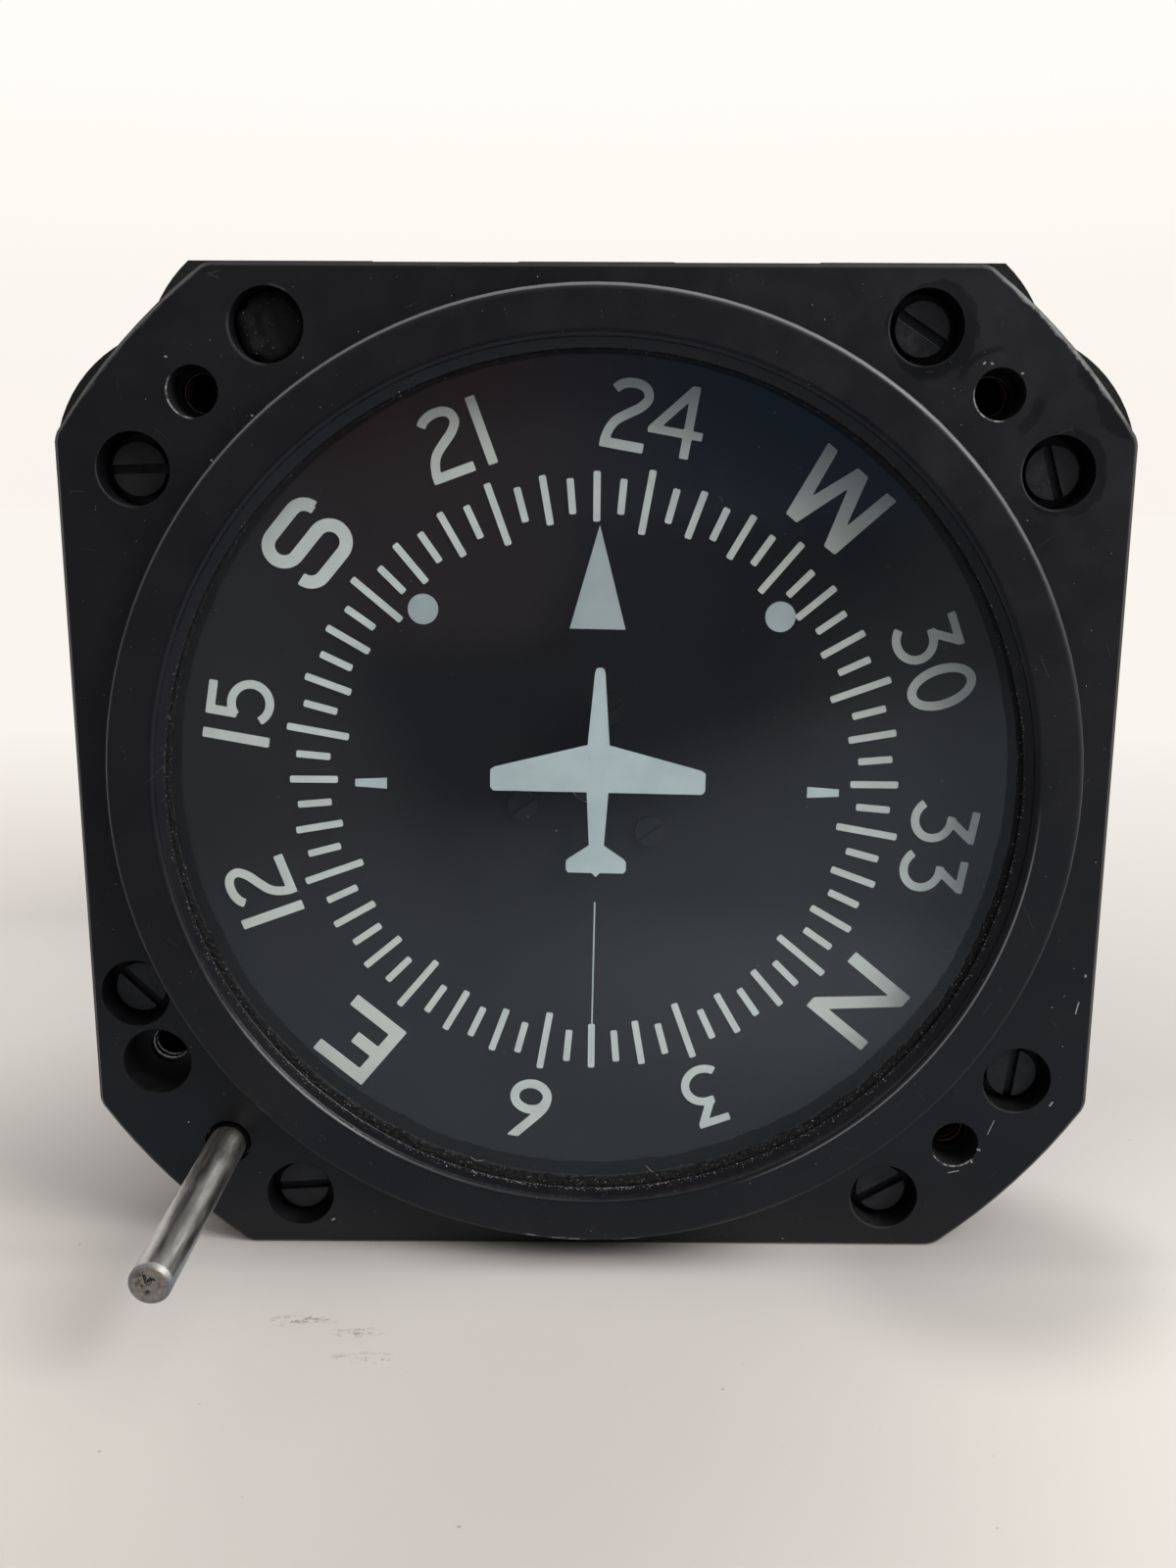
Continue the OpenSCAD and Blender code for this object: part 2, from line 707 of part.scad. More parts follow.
// Front plate, upper and lower arms for the vertical bearings, and the bridge behind the card gear
module mechanism_frame() {
    color(ALLOY) difference() {
        union() {
            slab(plate_y, plate_back) {
                circle(plate_r);
                rotate(-bottom_left) translate([0, idler_circle_r]) circle(3.6);
            }
            for (side = [0, 180]) rotate([0, side, 0]) {
                translate([-arm_half_w, plate_y, arm_top - arm_t])
                    cube([2 * arm_half_w, arm_end - plate_y, arm_t]);
            }
            translate([-arm_half_w, bridge_y - bridge_t / 2, -arm_top])
                cube([2 * arm_half_w, bridge_t, 2 * arm_top]);
            bar(bridge_y - bridge_t / 2, bridge_y + bridge_t / 2, card_bearing_r + 4);
            translate([-duct_r - 1.4, arm_end - 5, duct_z - duct_r - 1.2])
                cube([2 * duct_r + 2.8, 5, arm_top - duct_z + duct_r + 1]);
        }
        bar(plate_y - 1, bridge_y + bridge_t, card_bearing_r);
        for (c = [90, -30, -150]) at_clock(20, c) bar(plate_y - 1, plate_back + 1, 7);
        for (c = frame_screw_clocks) at_clock(frame_screw_r, c)
            bar(plate_y - 1, plate_back + 1, frame_shank_r + 0.2);
        translate([0, gyro_y, -arm_top - 1]) cylinder(r = bearing_r, h = 2 * arm_top + 2);
        at_clock(idler_circle_r, bottom_left) bar(plate_y - 1, plate_back + 1, pivot_r + fit);
        translate([0, 0, duct_z]) bar(arm_end - 4, arm_end + 1, duct_r + fit);
    }
}

module frame_screws() {
    color(STEEL) for (c = frame_screw_clocks) {
        at_clock(frame_screw_r, c)
            slotted_screw(plate_y - 1.4, 2.2, 1.4, frame_shank_r, plate_t + 4, 0.6, c);
    }
}

module card_bearings() {
    color(BRASS) {
        difference() {
            union() {
                bar(plate_y - 0.6, plate_y, card_bearing_r + 1);
                bar(plate_y, plate_back + 0.4, card_bearing_r - fit);
            }
            bar(plate_y - 2, plate_back + 2, card_shaft_r + running);
        }
        pipe(bridge_y - bridge_t / 2, bridge_y + bridge_t / 2 + 0.6,
            card_bearing_r - fit, card_shaft_r + running);
    }
}

module gimbal_bearing() {
    translate([0, gyro_y, arm_top - arm_t - 0.3]) difference() {
        cylinder(r = bearing_r - fit, h = arm_t + 0.3);
        translate([0, 0, -1]) cylinder(r = trunnion_r + running, h = arm_t + 3);
    }
}

module upper_gimbal_bearing() {
    color(STEEL) gimbal_bearing();
}

module lower_gimbal_bearing() {
    color(STEEL) mirror([0, 0, 1]) gimbal_bearing();
}

module air_duct() {
    color(ALLOY) translate([0, 0, duct_z]) pipe(arm_end - 3.8, cover_y + 1.8, duct_r, duct_r - 0.6);
}

module shaft_bush() {
    color(BRASS) at_clock(shaft_circle_r, bottom_left)
        pipe(bush_y, flange_t, bush_r - fit, journal_r + running);
}

module idler_stub() {
    color(STEEL) at_clock(idler_circle_r, bottom_left) {
        bar(plate_y, idler_y + idler_t + 0.1, pivot_r);
        bar(plate_back, idler_y - 0.1, 2.2);
        bar(idler_y + idler_t + 0.1, idler_y + idler_t + 0.8, 2.0);
    }
}

// Two ears that carry the lever's pin, on a foot that fits the wall of the case
module lever_bracket() {
    ear = lever_w / 2 + 0.3;
    low = pivot[1] - 2.8;
    color(ALLOY) rotate([0, bottom_left, 0]) difference() {
        intersection() {
            union() {
                for (side = [0, 1]) mirror([side, 0, 0]) {
                    translate([ear, pivot[0] - 3.4, low]) cube([1.8, 6.8, case_in_r - low]);
                    translate([ear, pivot[0] - 3.4, case_in_r - 2.8]) cube([7.5, 6.8, 2.8]);
                }
                translate([-ear - 1.8, pivot[0] + 3.4, case_in_r - 4.4]) cube([2 * ear + 3.6, 1.6, 4.4]);
            }
            bar(0, case_end, case_in_r - fit);
        }
        translate([-10, pivot[0], pivot[1]]) rotate([0, 90, 0]) cylinder(r = lever_pin_r + fit, h = 20);
    }
}

module lever_pin() {
    half = lever_w / 2 + 2.4;
    color(STEEL) rotate([0, bottom_left, 0]) translate([-half, pivot[0], pivot[1]]) rotate([0, 90, 0])
        cylinder(r = lever_pin_r, h = 2 * half);
}

module compass_card() {
    color(CARD) difference() {
        bar(card_y, card_back, card_r);
        bar(card_y - 1, card_back + 1, card_shaft_r + running);
        at_card_screws() bar(card_y - 1, card_back + 1, 0.9);
    }
}

module at_card_screws() {
    for (k = [0 : 2]) at_clock(card_screw_r, 11.5 + 120 * k) children();
}

// Tick marks every 5 degrees: long each 30, middling each 10 and short between
module card_ticks() {
    color(MARK) slab(card_y - print_t, card_y) for (h = [0 : 5 : 355]) rotate(heading - h) {
        long = h % 30 == 0;
        middling = h % 10 == 0;
        outer = tick_r - (long ? 0 : middling ? 0.5 : 1);
        inner = tick_r - (long ? 5.2 : middling ? 4.5 : 3.85);
        half = tick_w / 2;
        polygon([[half - tick_corner, inner], [half, inner + tick_corner],
            [half, outer - tick_corner], [half - tick_corner, outer],
            [tick_corner - half, outer], [-half, outer - tick_corner],
            [-half, inner + tick_corner], [tick_corner - half, inner]]);
    }
}

module card_hub() {
    color(ALLOY) difference() {
        turned([[card_shaft_r + fit, card_back], [9, card_back], [9, card_back + 1.6], [4.5, card_back + 2.2],
            [4.5, plate_y - 0.9], [card_shaft_r + fit, plate_y - 0.9]]);
        at_card_screws() bar(card_back - 1, card_back + 2.5, 0.8 + fit);
    }
}

module card_screws() {
    color(DARK_STEEL) at_card_screws() slotted_screw(card_y - 0.5, 1.25, 0.5, 0.8, 2.2, 0.3, 35);
}

module card_shaft() {
    color(STEEL) bar(card_back, gyro_y - dish_in_r - 0.3, card_shaft_r);
}

module card_setting_gear() {
    color(BRASS) difference() {
        union() {
            slab(card_gear_y, card_gear_y + card_gear_t) difference() {
                gear_outline(card_gear_teeth);
                for (i = [0 : 5]) rotate(60 * i) translate([16.5, 0]) circle(6.4);
            }
            bar(plate_back + 0.7, card_gear_y + card_gear_t + 1.2, 5);
        }
        bar(plate_back, card_gear_y + card_gear_t + 2, card_shaft_r + fit);
    }
}

module card_bevel_gear() {
    color(BRASS) translate([0, gyro_y, 0]) rotate([90, 0, 0]) bevel_gear(0, 5, 4.6, card_shaft_r + fit);
}

// The outer ring, with bosses for the trunnions and for the inner gimbal's bushes
module outer_gimbal() {
    color(ALLOY) translate([0, gyro_y, 0]) difference() {
        intersection() {
            union() {
                rotate([0, 90, 0]) cylinder(r = gimbal_r, h = gimbal_w, center = true);
                for (turn = [0, 90]) rotate([turn, 0, 0]) cylinder(r = 5, h = 2 * gimbal_r, center = true);
            }
            sphere(gimbal_r + 0.25, $fn = 128);
        }
        rotate([0, 90, 0]) cylinder(r = gimbal_in_r, h = 12, center = true);
        cylinder(r = trunnion_r + fit, h = 2 * gimbal_r + 2, center = true);
        rotate([90, 0, 0]) cylinder(r = gimbal_bush_r, h = 2 * gimbal_r + 2, center = true);
        for (a = [22.5 : 45 : 360]) rotate([a, 0, 0]) translate([0, 0, gimbal_r - gimbal_wall / 2]) {
            rotate([0, 90, 0]) cylinder(r = 1.1, h = gimbal_w + 2, center = true);
        }
    }
}

// Trunnion with a thin collar outside the ring
module trunnion() {
    translate([0, gyro_y, gimbal_in_r + 0.5]) cylinder(r = trunnion_r, h = trunnion_end - gimbal_in_r - 0.5);
    translate([0, gyro_y, gimbal_r + 0.1]) cylinder(r = 2.6, h = 0.5);
}

module upper_trunnion() {
    color(STEEL) trunnion();
}

module lower_trunnion() {
    color(STEEL) mirror([0, 0, 1]) trunnion();
}

module azimuth_gear() {
    color(BRASS) translate([0, gyro_y, 0]) rotate([180, 0, 0]) bevel_gear(0.5, 4, 2.6, trunnion_r + fit);
}

// Two jets inside the outer ring that blow along the rotor's rim
module air_jets() {
    color(BRASS) translate([0, gyro_y, 0]) for (turn = [0, 180]) rotate([turn, 0, 0]) {
        difference() {
            intersection() {
                jet_bar(1.3);
                rotate([0, 90, 0]) cylinder(r = gimbal_in_r - fit, h = 10, center = true);
            }
            jet_bar(0.6);
        }
    }
}

module jet_bar(r) {
    translate([0, -3, rotor_r + 1.8]) rotate([50, 0, 0]) cylinder(r = r, h = 9);
}

module gimbal_bushes() {
    color(BRASS) translate([0, gyro_y, 0]) for (turn = [90, -90]) rotate([turn, 0, 0]) {
        translate([0, 0, gimbal_in_r + 0.2]) difference() {
            cylinder(r = gimbal_bush_r - fit, h = gimbal_wall - 0.4);
            translate([0, 0, -1]) cylinder(r = pivot_r + running, h = gimbal_wall + 2);
        }
    }
}

// The rotor's frame: a rounded oblong ring inside the ball that it sweeps
module inner_gimbal() {
    color(ALLOY) translate([0, gyro_y, 0]) difference() {
        intersection() {
            cube(2 * [cage_half_x, cage_half_y, cage_half_z], center = true);
            sphere(cage_ball_r, $fn = 128);
        }
        intersection() {
            cube([2 * (cage_half_x - cage_wall), 2 * (cage_half_y - cage_wall), 20], center = true);
            cylinder(r = cage_ball_r - cage_wall, h = 20, center = true);
        }
        rotate([0, 90, 0]) cylinder(r = spin_bearing_r, h = 60, center = true);
        rotate([90, 0, 0]) cylinder(r = pivot_r + fit, h = 60, center = true);
    }
}

module gimbal_pivots() {
    inner_end = cage_half_y - cage_wall + 0.8;
    color(STEEL) translate([0, gyro_y, 0]) for (turn = [90, -90]) rotate([turn, 0, 0]) {
        translate([0, 0, inner_end]) cylinder(r = pivot_r, h = gimbal_r - 0.6 - inner_end);
    }
}

module spin_bearings() {
    start = cage_half_x - cage_wall - 0.6;
    color(STEEL) translate([0, gyro_y, 0]) for (turn = [90, -90]) rotate([0, turn, 0]) {
        difference() {
            union() {
                translate([0, 0, start]) cylinder(r = spin_bearing_r - fit, h = cage_half_x - start);
                translate([0, 0, cage_half_x]) cylinder(r = spin_bearing_r + 1, h = 0.8);
            }
            translate([0, 0, start - 1]) cylinder(r = rotor_shaft_r + running, h = cage_half_x - start + 1.2);
        }
    }
}

// The rotor: a heavy rim on a thin web, with a row of buckets cut for the air jets
module rotor() {
    half = rotor_w / 2;
    hub = cage_half_x - cage_wall - 0.9;
    profile = [[rotor_shaft_r + fit, -hub], [4, -hub], [4, -2.5], [rotor_r - 6, -2.5], [rotor_r - 6, -half],
        [rotor_r - 0.6, -half], [rotor_r, 0.6 - half], [rotor_r, half - 0.6], [rotor_r - 0.6, half],
        [rotor_r - 6, half], [rotor_r - 6, 2.5], [4, 2.5], [4, hub], [rotor_shaft_r + fit, hub]];
    color(BRASS) translate([0, gyro_y, 0]) rotate([0, 90, 0]) difference() {
        rotate_extrude($fn = 180) polygon(profile);
        for (i = [0 : buckets - 1]) rotate([0, 0, 360 * i / buckets]) {
            translate([rotor_r + 0.3, 0, 0]) rotate([0, 0, 20])
                cylinder(r = 1.7, h = 0.6 * rotor_w, center = true, $fn = 32);
        }
    }
}

module rotor_shaft() {
    color(STEEL) translate([0, gyro_y, 0]) rotate([0, 90, 0])
        cylinder(r = rotor_shaft_r, h = 2 * cage_half_x - 0.4, center = true);
}

// The bare steel shaft, its knob lost: the knob's seat, and a thicker journal from the flange inward
module setting_shaft() {
    color(STEEL) at_clock(shaft_circle_r, bottom_left) turned([[0, -shaft_out], [shaft_r - 0.25, -shaft_out],
        [shaft_r, 0.2 - shaft_out], [shaft_r, shoulder_y], [journal_r, shoulder_y],
        [journal_r, shaft_end - 0.3], [journal_r - 0.3, shaft_end], [0, shaft_end]]);
}

module setting_pinion() {
    color(BRASS) at_clock(shaft_circle_r, bottom_left) difference() {
        union() {
            slab(pinion_y, pinion_y + pinion_t) gear_outline(pinion_teeth);
            bar(flange_t + loose, pinion_y, 2.8);
        }
        bar(flange_t, pinion_y + pinion_t + 1, journal_r + fit);
    }
}

module shaft_clips() {
    color(STEEL) at_clock(shaft_circle_r, bottom_left) {
        pipe(collar_y - clip_gap - clip_t, collar_y - clip_gap, 2.9, journal_r + fit);
        pipe(collar_y + collar_l + clip_gap, collar_y + collar_l + clip_gap + clip_t, 2.9, journal_r + fit);
    }
}

module cage_collar() {
    low = groove_y - groove_w / 2;
    high = groove_y + groove_w / 2;
    color(BRASS) at_clock(shaft_circle_r, bottom_left) turned([
        [journal_r + running, collar_y], [collar_r, collar_y], [collar_r, low], [groove_r, low],
        [groove_r, high], [collar_r, high], [collar_r, collar_y + collar_l],
        [journal_r + running, collar_y + collar_l]]);
}

module idler_gear() {
    color(BRASS) at_clock(idler_circle_r, bottom_left) slab(idler_y, idler_y + idler_t) difference() {
        gear_outline(idler_teeth);
        circle(pivot_r + running);
    }
}

// Bell crank between the collar's groove and the brake pad, in the uncaged position
module caging_lever() {
    half = lever_w / 2;
    color(STEEL) rotate([0, bottom_left, 0]) translate([0, pivot[0], pivot[1]]) difference() {
        union() {
            translate([-half, 0, 0]) rotate([90, 0, 90]) linear_extrude(lever_w) {
                circle(2.8);
                rotate(90 + cage_swing / 2) translate([0, -1.1]) square([lever_arm - 1.4, 2.2]);
                rotate(pad_angle) translate([0, -1.3]) square([pad_arm - pad_r - 0.2, 2.6]);
            }
            rotate([cage_swing / 2, 0, 0]) {
                translate([0, 0, lever_arm - 2]) cylinder(r = 0.7, h = 2);
                translate([0, 0, lever_arm]) sphere(lever_tip_r, $fn = 48);
            }
        }
        rotate([0, 90, 0]) cylinder(r = lever_pin_r + running, h = 10, center = true);
    }
}

module brake_pad() {
    color("#5b4632") rotate([0, bottom_left, 0]) translate([0, pivot[0], pivot[1]]) rotate([pad_angle, 0, 0])
        translate([0, pad_arm, 0]) rotate([0, 90, 0]) cylinder(r = pad_r, h = 4, center = true);
}

bezel_flange();
bezel_screws();
glass();
glass_seal();
glass_retainer();
aircraft_symbol();
index_marks();
flange_gasket();
case();
rear_cover();
rear_gasket();
rear_cover_screws();
filter_element();
filter_cover();
filter_screw();
vacuum_fitting();
mechanism_frame();
frame_screws();
card_bearings();
upper_gimbal_bearing();
lower_gimbal_bearing();
air_duct();
shaft_bush();
idler_stub();
lever_bracket();
lever_pin();
compass_card();
card_ticks();
card_hub();
card_screws();
card_shaft();
card_setting_gear();
card_bevel_gear();
outer_gimbal();
upper_trunnion();
lower_trunnion();
azimuth_gear();
air_jets();
gimbal_bushes();
inner_gimbal();
gimbal_pivots();
spin_bearings();
rotor();
rotor_shaft();
setting_shaft();
setting_pinion();
shaft_clips();
cage_collar();
idler_gear();
caging_lever();
brake_pad();
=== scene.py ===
"""Looks of a directional gyro indicator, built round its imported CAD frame.

Metres, in the frame of the CAD: the origin is the centre of the flange's front face, -Y is toward
the pilot and +Z is up. Sizes in the constants below are in millimetres and are scaled by MM.
"""

import random
from functools import partialmethod
from math import cos, dist, pi, radians, sin, sqrt

import bmesh
import bpy
import numpy as np
from mathutils import Matrix, Vector


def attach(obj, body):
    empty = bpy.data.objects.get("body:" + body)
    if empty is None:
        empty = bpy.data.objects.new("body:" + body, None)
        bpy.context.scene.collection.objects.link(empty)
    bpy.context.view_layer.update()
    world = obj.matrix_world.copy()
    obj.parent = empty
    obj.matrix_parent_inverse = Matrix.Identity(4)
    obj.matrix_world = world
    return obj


MM = 0.001
SEED = 7

# Camera, found from the circles and corners of the photograph
CAMERA_AT = (-0.16, -115.94, 24.68)
CAMERA_LOOK = (-0.00282, 0.97864, -0.20556)
CAMERA_UP = (-0.00475, 0.20555, 0.97864)
FOCAL_PIXELS = 1470.5
IMAGE_LONG_SIDE = 1600
SENSOR = 36.0

# Stations of the CAD model
FLOOR_Z = -41.1
GLASS_FRONT = -1.4
WINDOW_R = 34.65
CARD_Y = 3.2
PRINT_T = 0.08
BOLT_CIRCLE_R = 44.45
FLANGE_T = 6.4
RING_R = 39.39
RING_FRONT = -2.71
LIP_R = 35.41
LIP_BACK = -1.95
LIP_FRONT = -2.26
SCREW_FRONT = 1.7
SHAFT_CIRCLE_R = 44.72
SHAFT_CLOCK = -135.0
SHAFT_END = -22.7
# Mounting holes: clock angle, and the depth at which the threads start
MOUNTING_HOLES = [(-45.0, 3.0), (45.0, 3.0), (135.0, 3.0), (-122.9, 3.6)]
# Screws: radius of their circle and clock angle. The first two are caked with dirt.
SCREWS = [*((BOLT_CIRCLE_R, clock) for clock in (-55, -35, 35, 55, 125, 145, -145)), (42.8, -114.9)]

# Wear and painted glints seen in the photograph. Oil on the flange, as x, z and radius
OIL_SPOTS = ((36.9, 25.4, 3.25), (26.0, 36.2, 3.5), (40.9, 33.7, 3.4), (41.6, 31.1, 2.9))
# Marks that follow a circle on the flange: its x, z and radius, their half width, the clock angle of their
# middle and how far they reach to each side of it. Smears of oil, painted glints on the rims of holes, and
# fainter painted glints on the rims of the screws' recesses
OIL_ARCS = ((31.4, 31.4, 3.2, 0.35, 122, 34), (31.4, 31.4, 3.4, 0.12, -32, 44))
PAINTED_HOLE_RIM_GLINTS = ((-31.43, 31.43, 2.06, 0.03, -118, 66), (31.43, 31.43, 2.06, 0.027, -135, 62),
               (31.43, -31.43, 2.06, 0.03, -172, 62))
PAINTED_RECESS_RIM_GLINTS = ((-25.49, 36.41, 2.98, 0.10, -125, 60), (36.41, 25.49, 2.96, 0.05, -125, 70),
             (36.41, -25.49, 2.96, 0.05, -150, 50), (25.49, -36.41, 2.96, 0.05, -145, 60),
             (-36.41, 25.49, 2.96, 0.04, -130, 60), (-25.49, 36.41, 2.98, 0.05, 20, 16),
             (25.49, 36.41, 2.96, 0.04, -120, 60))
# A line on the outer edge of the window's lip, at the lower right, and chips along the ring's edge
LIP_LINE = ((0, 0, 35.98, 0.05, 126, 36),)
RING_CHIPS = ((0, 0, 39.2, 0.12, 183.2, 2.6), (0, 0, 39.25, 0.05, 175.5, 2.0), (0, 0, 39.1, 0.06, 187.5, 1.2))
# Short scratches and flecks on the flange: x and z of each end, and the half width
FLECKS = (
    (30.0, 33.7, 30.1, 33.8, 0.06), (30.6, 33.75, 30.7, 33.7, 0.06), (33.0, 33.0, 33.1, 33.0, 0.06),
    (33.4, -31.9, 33.6, -31.95, 0.08), (32.9, -32.9, 33.0, -33.1, 0.07), (31.0, -34.1, 31.9, -33.9, 0.04),
    (31.3, -29.7, 31.35, -30.0, 0.04), (37.7, -13.2, 37.9, -13.7, 0.05), (34.7, -29.2, 34.2, -30.5, 0.03),
    (41.2, -18.4, 41.0, -19.4, 0.05), (41.6, -16.0, 41.6, -16.1, 0.08), (39.4, -27.8, 39.6, -27.5, 0.07),
    (-33.4, 34.0, -33.3, 34.0, 0.06), (-26.9, 29.6, -26.8, 29.6, 0.06), (-30.2, 26.2, -30.1, 26.1, 0.06),
    (32.6, 22.6, 32.7, 21.9, 0.03), (-22.8, -38.9, -22.6, -38.8, 0.07),
)
# Rubbed marks on the table: x, y and half length
TABLE_RUBS = ((-23.0, -12.0, 3.4), (-18.5, -13.6, 2.6), (-17.5, -17.0, 3.0))

# Grains of dust that are laid, or tried, in each place, and where they lie on the ring and the flange
GRAINS = {"edge": 1500, "lip": 2600, "glass": 230, "ring": 90, "flange": 280, "coarse on glass": 34,
          "coarse on lip": 200}
RING_FACE = (36.1, 38.7)
FLANGE_FACE = (RING_R + 0.4, 47.0)
FLANGE_HALF_X = 42.0
FLANGE_HALF_Z = 40.6
# Openings of the flange: radius and clock angle of the axis, and how far from it dust can lie
OPENINGS = [*((r, c, 3.1) for r, c in SCREWS), *((BOLT_CIRCLE_R, c, 3.1) for c, _ in MOUNTING_HOLES),
            (SHAFT_CIRCLE_R, SHAFT_CLOCK, 2.2)]
# Hairs on the glass: radius, clock angle and length
HAIRS = ((33.9, 187, 1.7), (34.1, 190, 1.2), (33.7, 196, 1.3), (33.2, 172, 0.9), (34.2, 163, 1.0),
         (20.5, 248, 0.9), (31.2, 96, 0.8), (25.4, 22, 0.7))

# Compass card: distance of the numerals' centres from the axis, and the heading at the top
NUMERAL_R = 30.0
TOP_HEADING = 230


def clock_point(radius, clock):
    """Millimetre x and z of a point at a clock angle, 0 at the top and 90 at the pilot's right."""
    a = radians(clock)
    return radius * sin(a), radius * cos(a)


# ---- Shader building ----


class Tree:
    """Adds nodes to a material's or the world's tree. Most methods return an output socket."""

    def __init__(self, owner):
        owner.use_nodes = True
        self.owner = owner
        self.tree = owner.node_tree
        self.tree.nodes.clear()

    def node(self, kind, inputs=None, **settings):
        n = self.tree.nodes.new("ShaderNode" + kind)
        for key, value in settings.items():
            setattr(n, key, value)
        for key, value in (inputs or {}).items():
            self.put(n.inputs[key], value)
        return n

    def put(self, socket, value):
        if isinstance(value, bpy.types.NodeSocket):
            self.tree.links.new(value, socket)
        else:
            socket.default_value = value

    def math(self, operation, *operands):
        return self.node("Math", dict(enumerate(operands)), operation=operation).outputs[0]

    plus = partialmethod(math, "ADD")
    minus = partialmethod(math, "SUBTRACT")
    times = partialmethod(math, "MULTIPLY")
    most = partialmethod(math, "MAXIMUM")

    def vector(self, operation, *operands, output=0):
        return self.node("VectorMath", dict(enumerate(operands)), operation=operation).outputs[output]

    add = partialmethod(vector, "ADD")
    dot = partialmethod(vector, "DOT_PRODUCT", output="Value")
    length = partialmethod(vector, "LENGTH", output="Value")
    distance = partialmethod(vector, "DISTANCE", output="Value")

    def axis(self, vector, index):
        return self.node("SeparateXYZ", {0: vector}).outputs[index]

    def millimetres(self, stretch=(1, 1, 1)):
        """Object coordinates in millimetres, each axis multiplied by stretch."""
        at = self.node("TexCoord").outputs["Object"]
        return self.vector("MULTIPLY", at, tuple(s / MM for s in stretch))

    def noise(self, at, scale, detail=3.0, roughness=0.5, distortion=0.0):
        inputs = {"Vector": at, "Scale": scale, "Detail": detail, "Roughness": roughness,
                  "Distortion": distortion}
        return self.node("TexNoise", inputs).outputs["Fac"]

    def ramp(self, value, low, high, to_low=0.0, to_high=1.0, smooth=True):
        inputs = {"Value": value, "From Min": low, "From Max": high, "To Min": to_low, "To Max": to_high}
        n = self.node("MapRange", inputs, clamp=True)
        n.interpolation_type = "SMOOTHSTEP" if smooth else "LINEAR"
        return n.outputs["Result"]

    def fall(self, value, low, high):
        return self.ramp(value, low, high, 1, 0)

    def mix(self, factor, a, b):
        """Mix of two colours. The numbers are those of the node's colour sockets."""
        a, b = ((*c, 1.0) if isinstance(c, tuple) else c for c in (a, b))
        return self.node("Mix", {0: factor, 6: a, 7: b}, data_type="RGBA").outputs[2]

    def specks(self, at, scale, share, core, rim, faint, strong):
        """Mask of round specks, one in that share of a texture's cells, from faint to strong."""
        n = self.node("TexVoronoi", {"Vector": at, "Scale": scale})
        channels = self.node("SeparateColor", {0: n.outputs["Color"]}).outputs
        kept = self.math("LESS_THAN", channels[0], share)
        speck = self.times(self.fall(n.outputs["Distance"], core, rim), kept)
        return self.times(speck, self.ramp(channels[1], 0, 1, faint, strong))

    def arcs(self, flat, table, soft):
        """Mask of arcs of circles that face the pilot, for a place whose y is left out."""
        mask = 0.0
        for x, z, radius, half_width, toward, reach in table:
            away = self.add(flat, (-x, 0, -z))
            length = self.length(away)
            off = self.math("ABSOLUTE", self.minus(length, radius))
            dx, dz = clock_point(1, toward)
            lean = self.math("DIVIDE", self.dot(away, (dx, 0, dz)), length)
            ends = self.ramp(lean, cos(radians(reach)), cos(radians(0.55 * reach)))
            mask = self.most(mask, self.times(self.fall(off, half_width, half_width + soft), ends))
        return mask

    def line(self, flat, x0, z0, x1, z1, half_width):
        """Mask of a straight scratch that faces the pilot."""
        dx, dz = x1 - x0, z1 - z0
        scale = 1 / (dx * dx + dz * dz)
        ahead = self.dot(self.add(flat, (-x0, 0, -z0)), (dx * scale, 0, dz * scale))
        ahead = self.ramp(ahead, 0, 1, smooth=False)
        foot = self.vector("MULTIPLY_ADD", (dx, 0, dz), ahead, (x0, 0, z0))
        return self.fall(self.distance(flat, foot), 0.5 * half_width, 1.5 * half_width)

    def rounded(self, radius_mm):
        """Normal that rounds the drawn-sharp edges."""
        return self.node("Bevel", {"Radius": radius_mm * MM}, samples=6).outputs[0]

    def edges(self, radius_mm):
        """Mask of edges: how far the rounded normal leans from the true one."""
        true = self.node("NewGeometry").outputs["True Normal"]
        return self.minus(1.0, self.dot(self.rounded(radius_mm), true))

    def bump(self, height, distance_mm, strength=1.0, normal=None):
        inputs = {"Height": height, "Distance": distance_mm * MM, "Strength": strength}
        if normal is not None:
            inputs["Normal"] = normal
        return self.node("Bump", inputs).outputs[0]

    def coat(self, mask, colour):
        """Lays a colour over the base colour where the mask is 1."""
        self.base = self.mix(mask, self.base, colour)

    def roughen(self, mask, amount):
        self.rough = self.plus(self.rough, self.times(mask, amount))

    def principled(self, **inputs):
        names = {k.replace("_", " "): v for k, v in inputs.items()}
        return self.node("BsdfPrincipled", names).outputs[0]

    def finish(self, shader):
        """Ends a material's tree, and returns the material."""
        self.node("OutputMaterial", {"Surface": shader})
        return self.owner

    def painted(self, **inputs):
        """Ends a material's tree with a principled surface of the base colour."""
        return self.finish(self.principled(Base_Color=self.base, **inputs))


def new_material(name):
    """The tree of a new material, and object coordinates in millimetres."""
    t = Tree(bpy.data.materials.new(name))
    return t, t.millimetres()


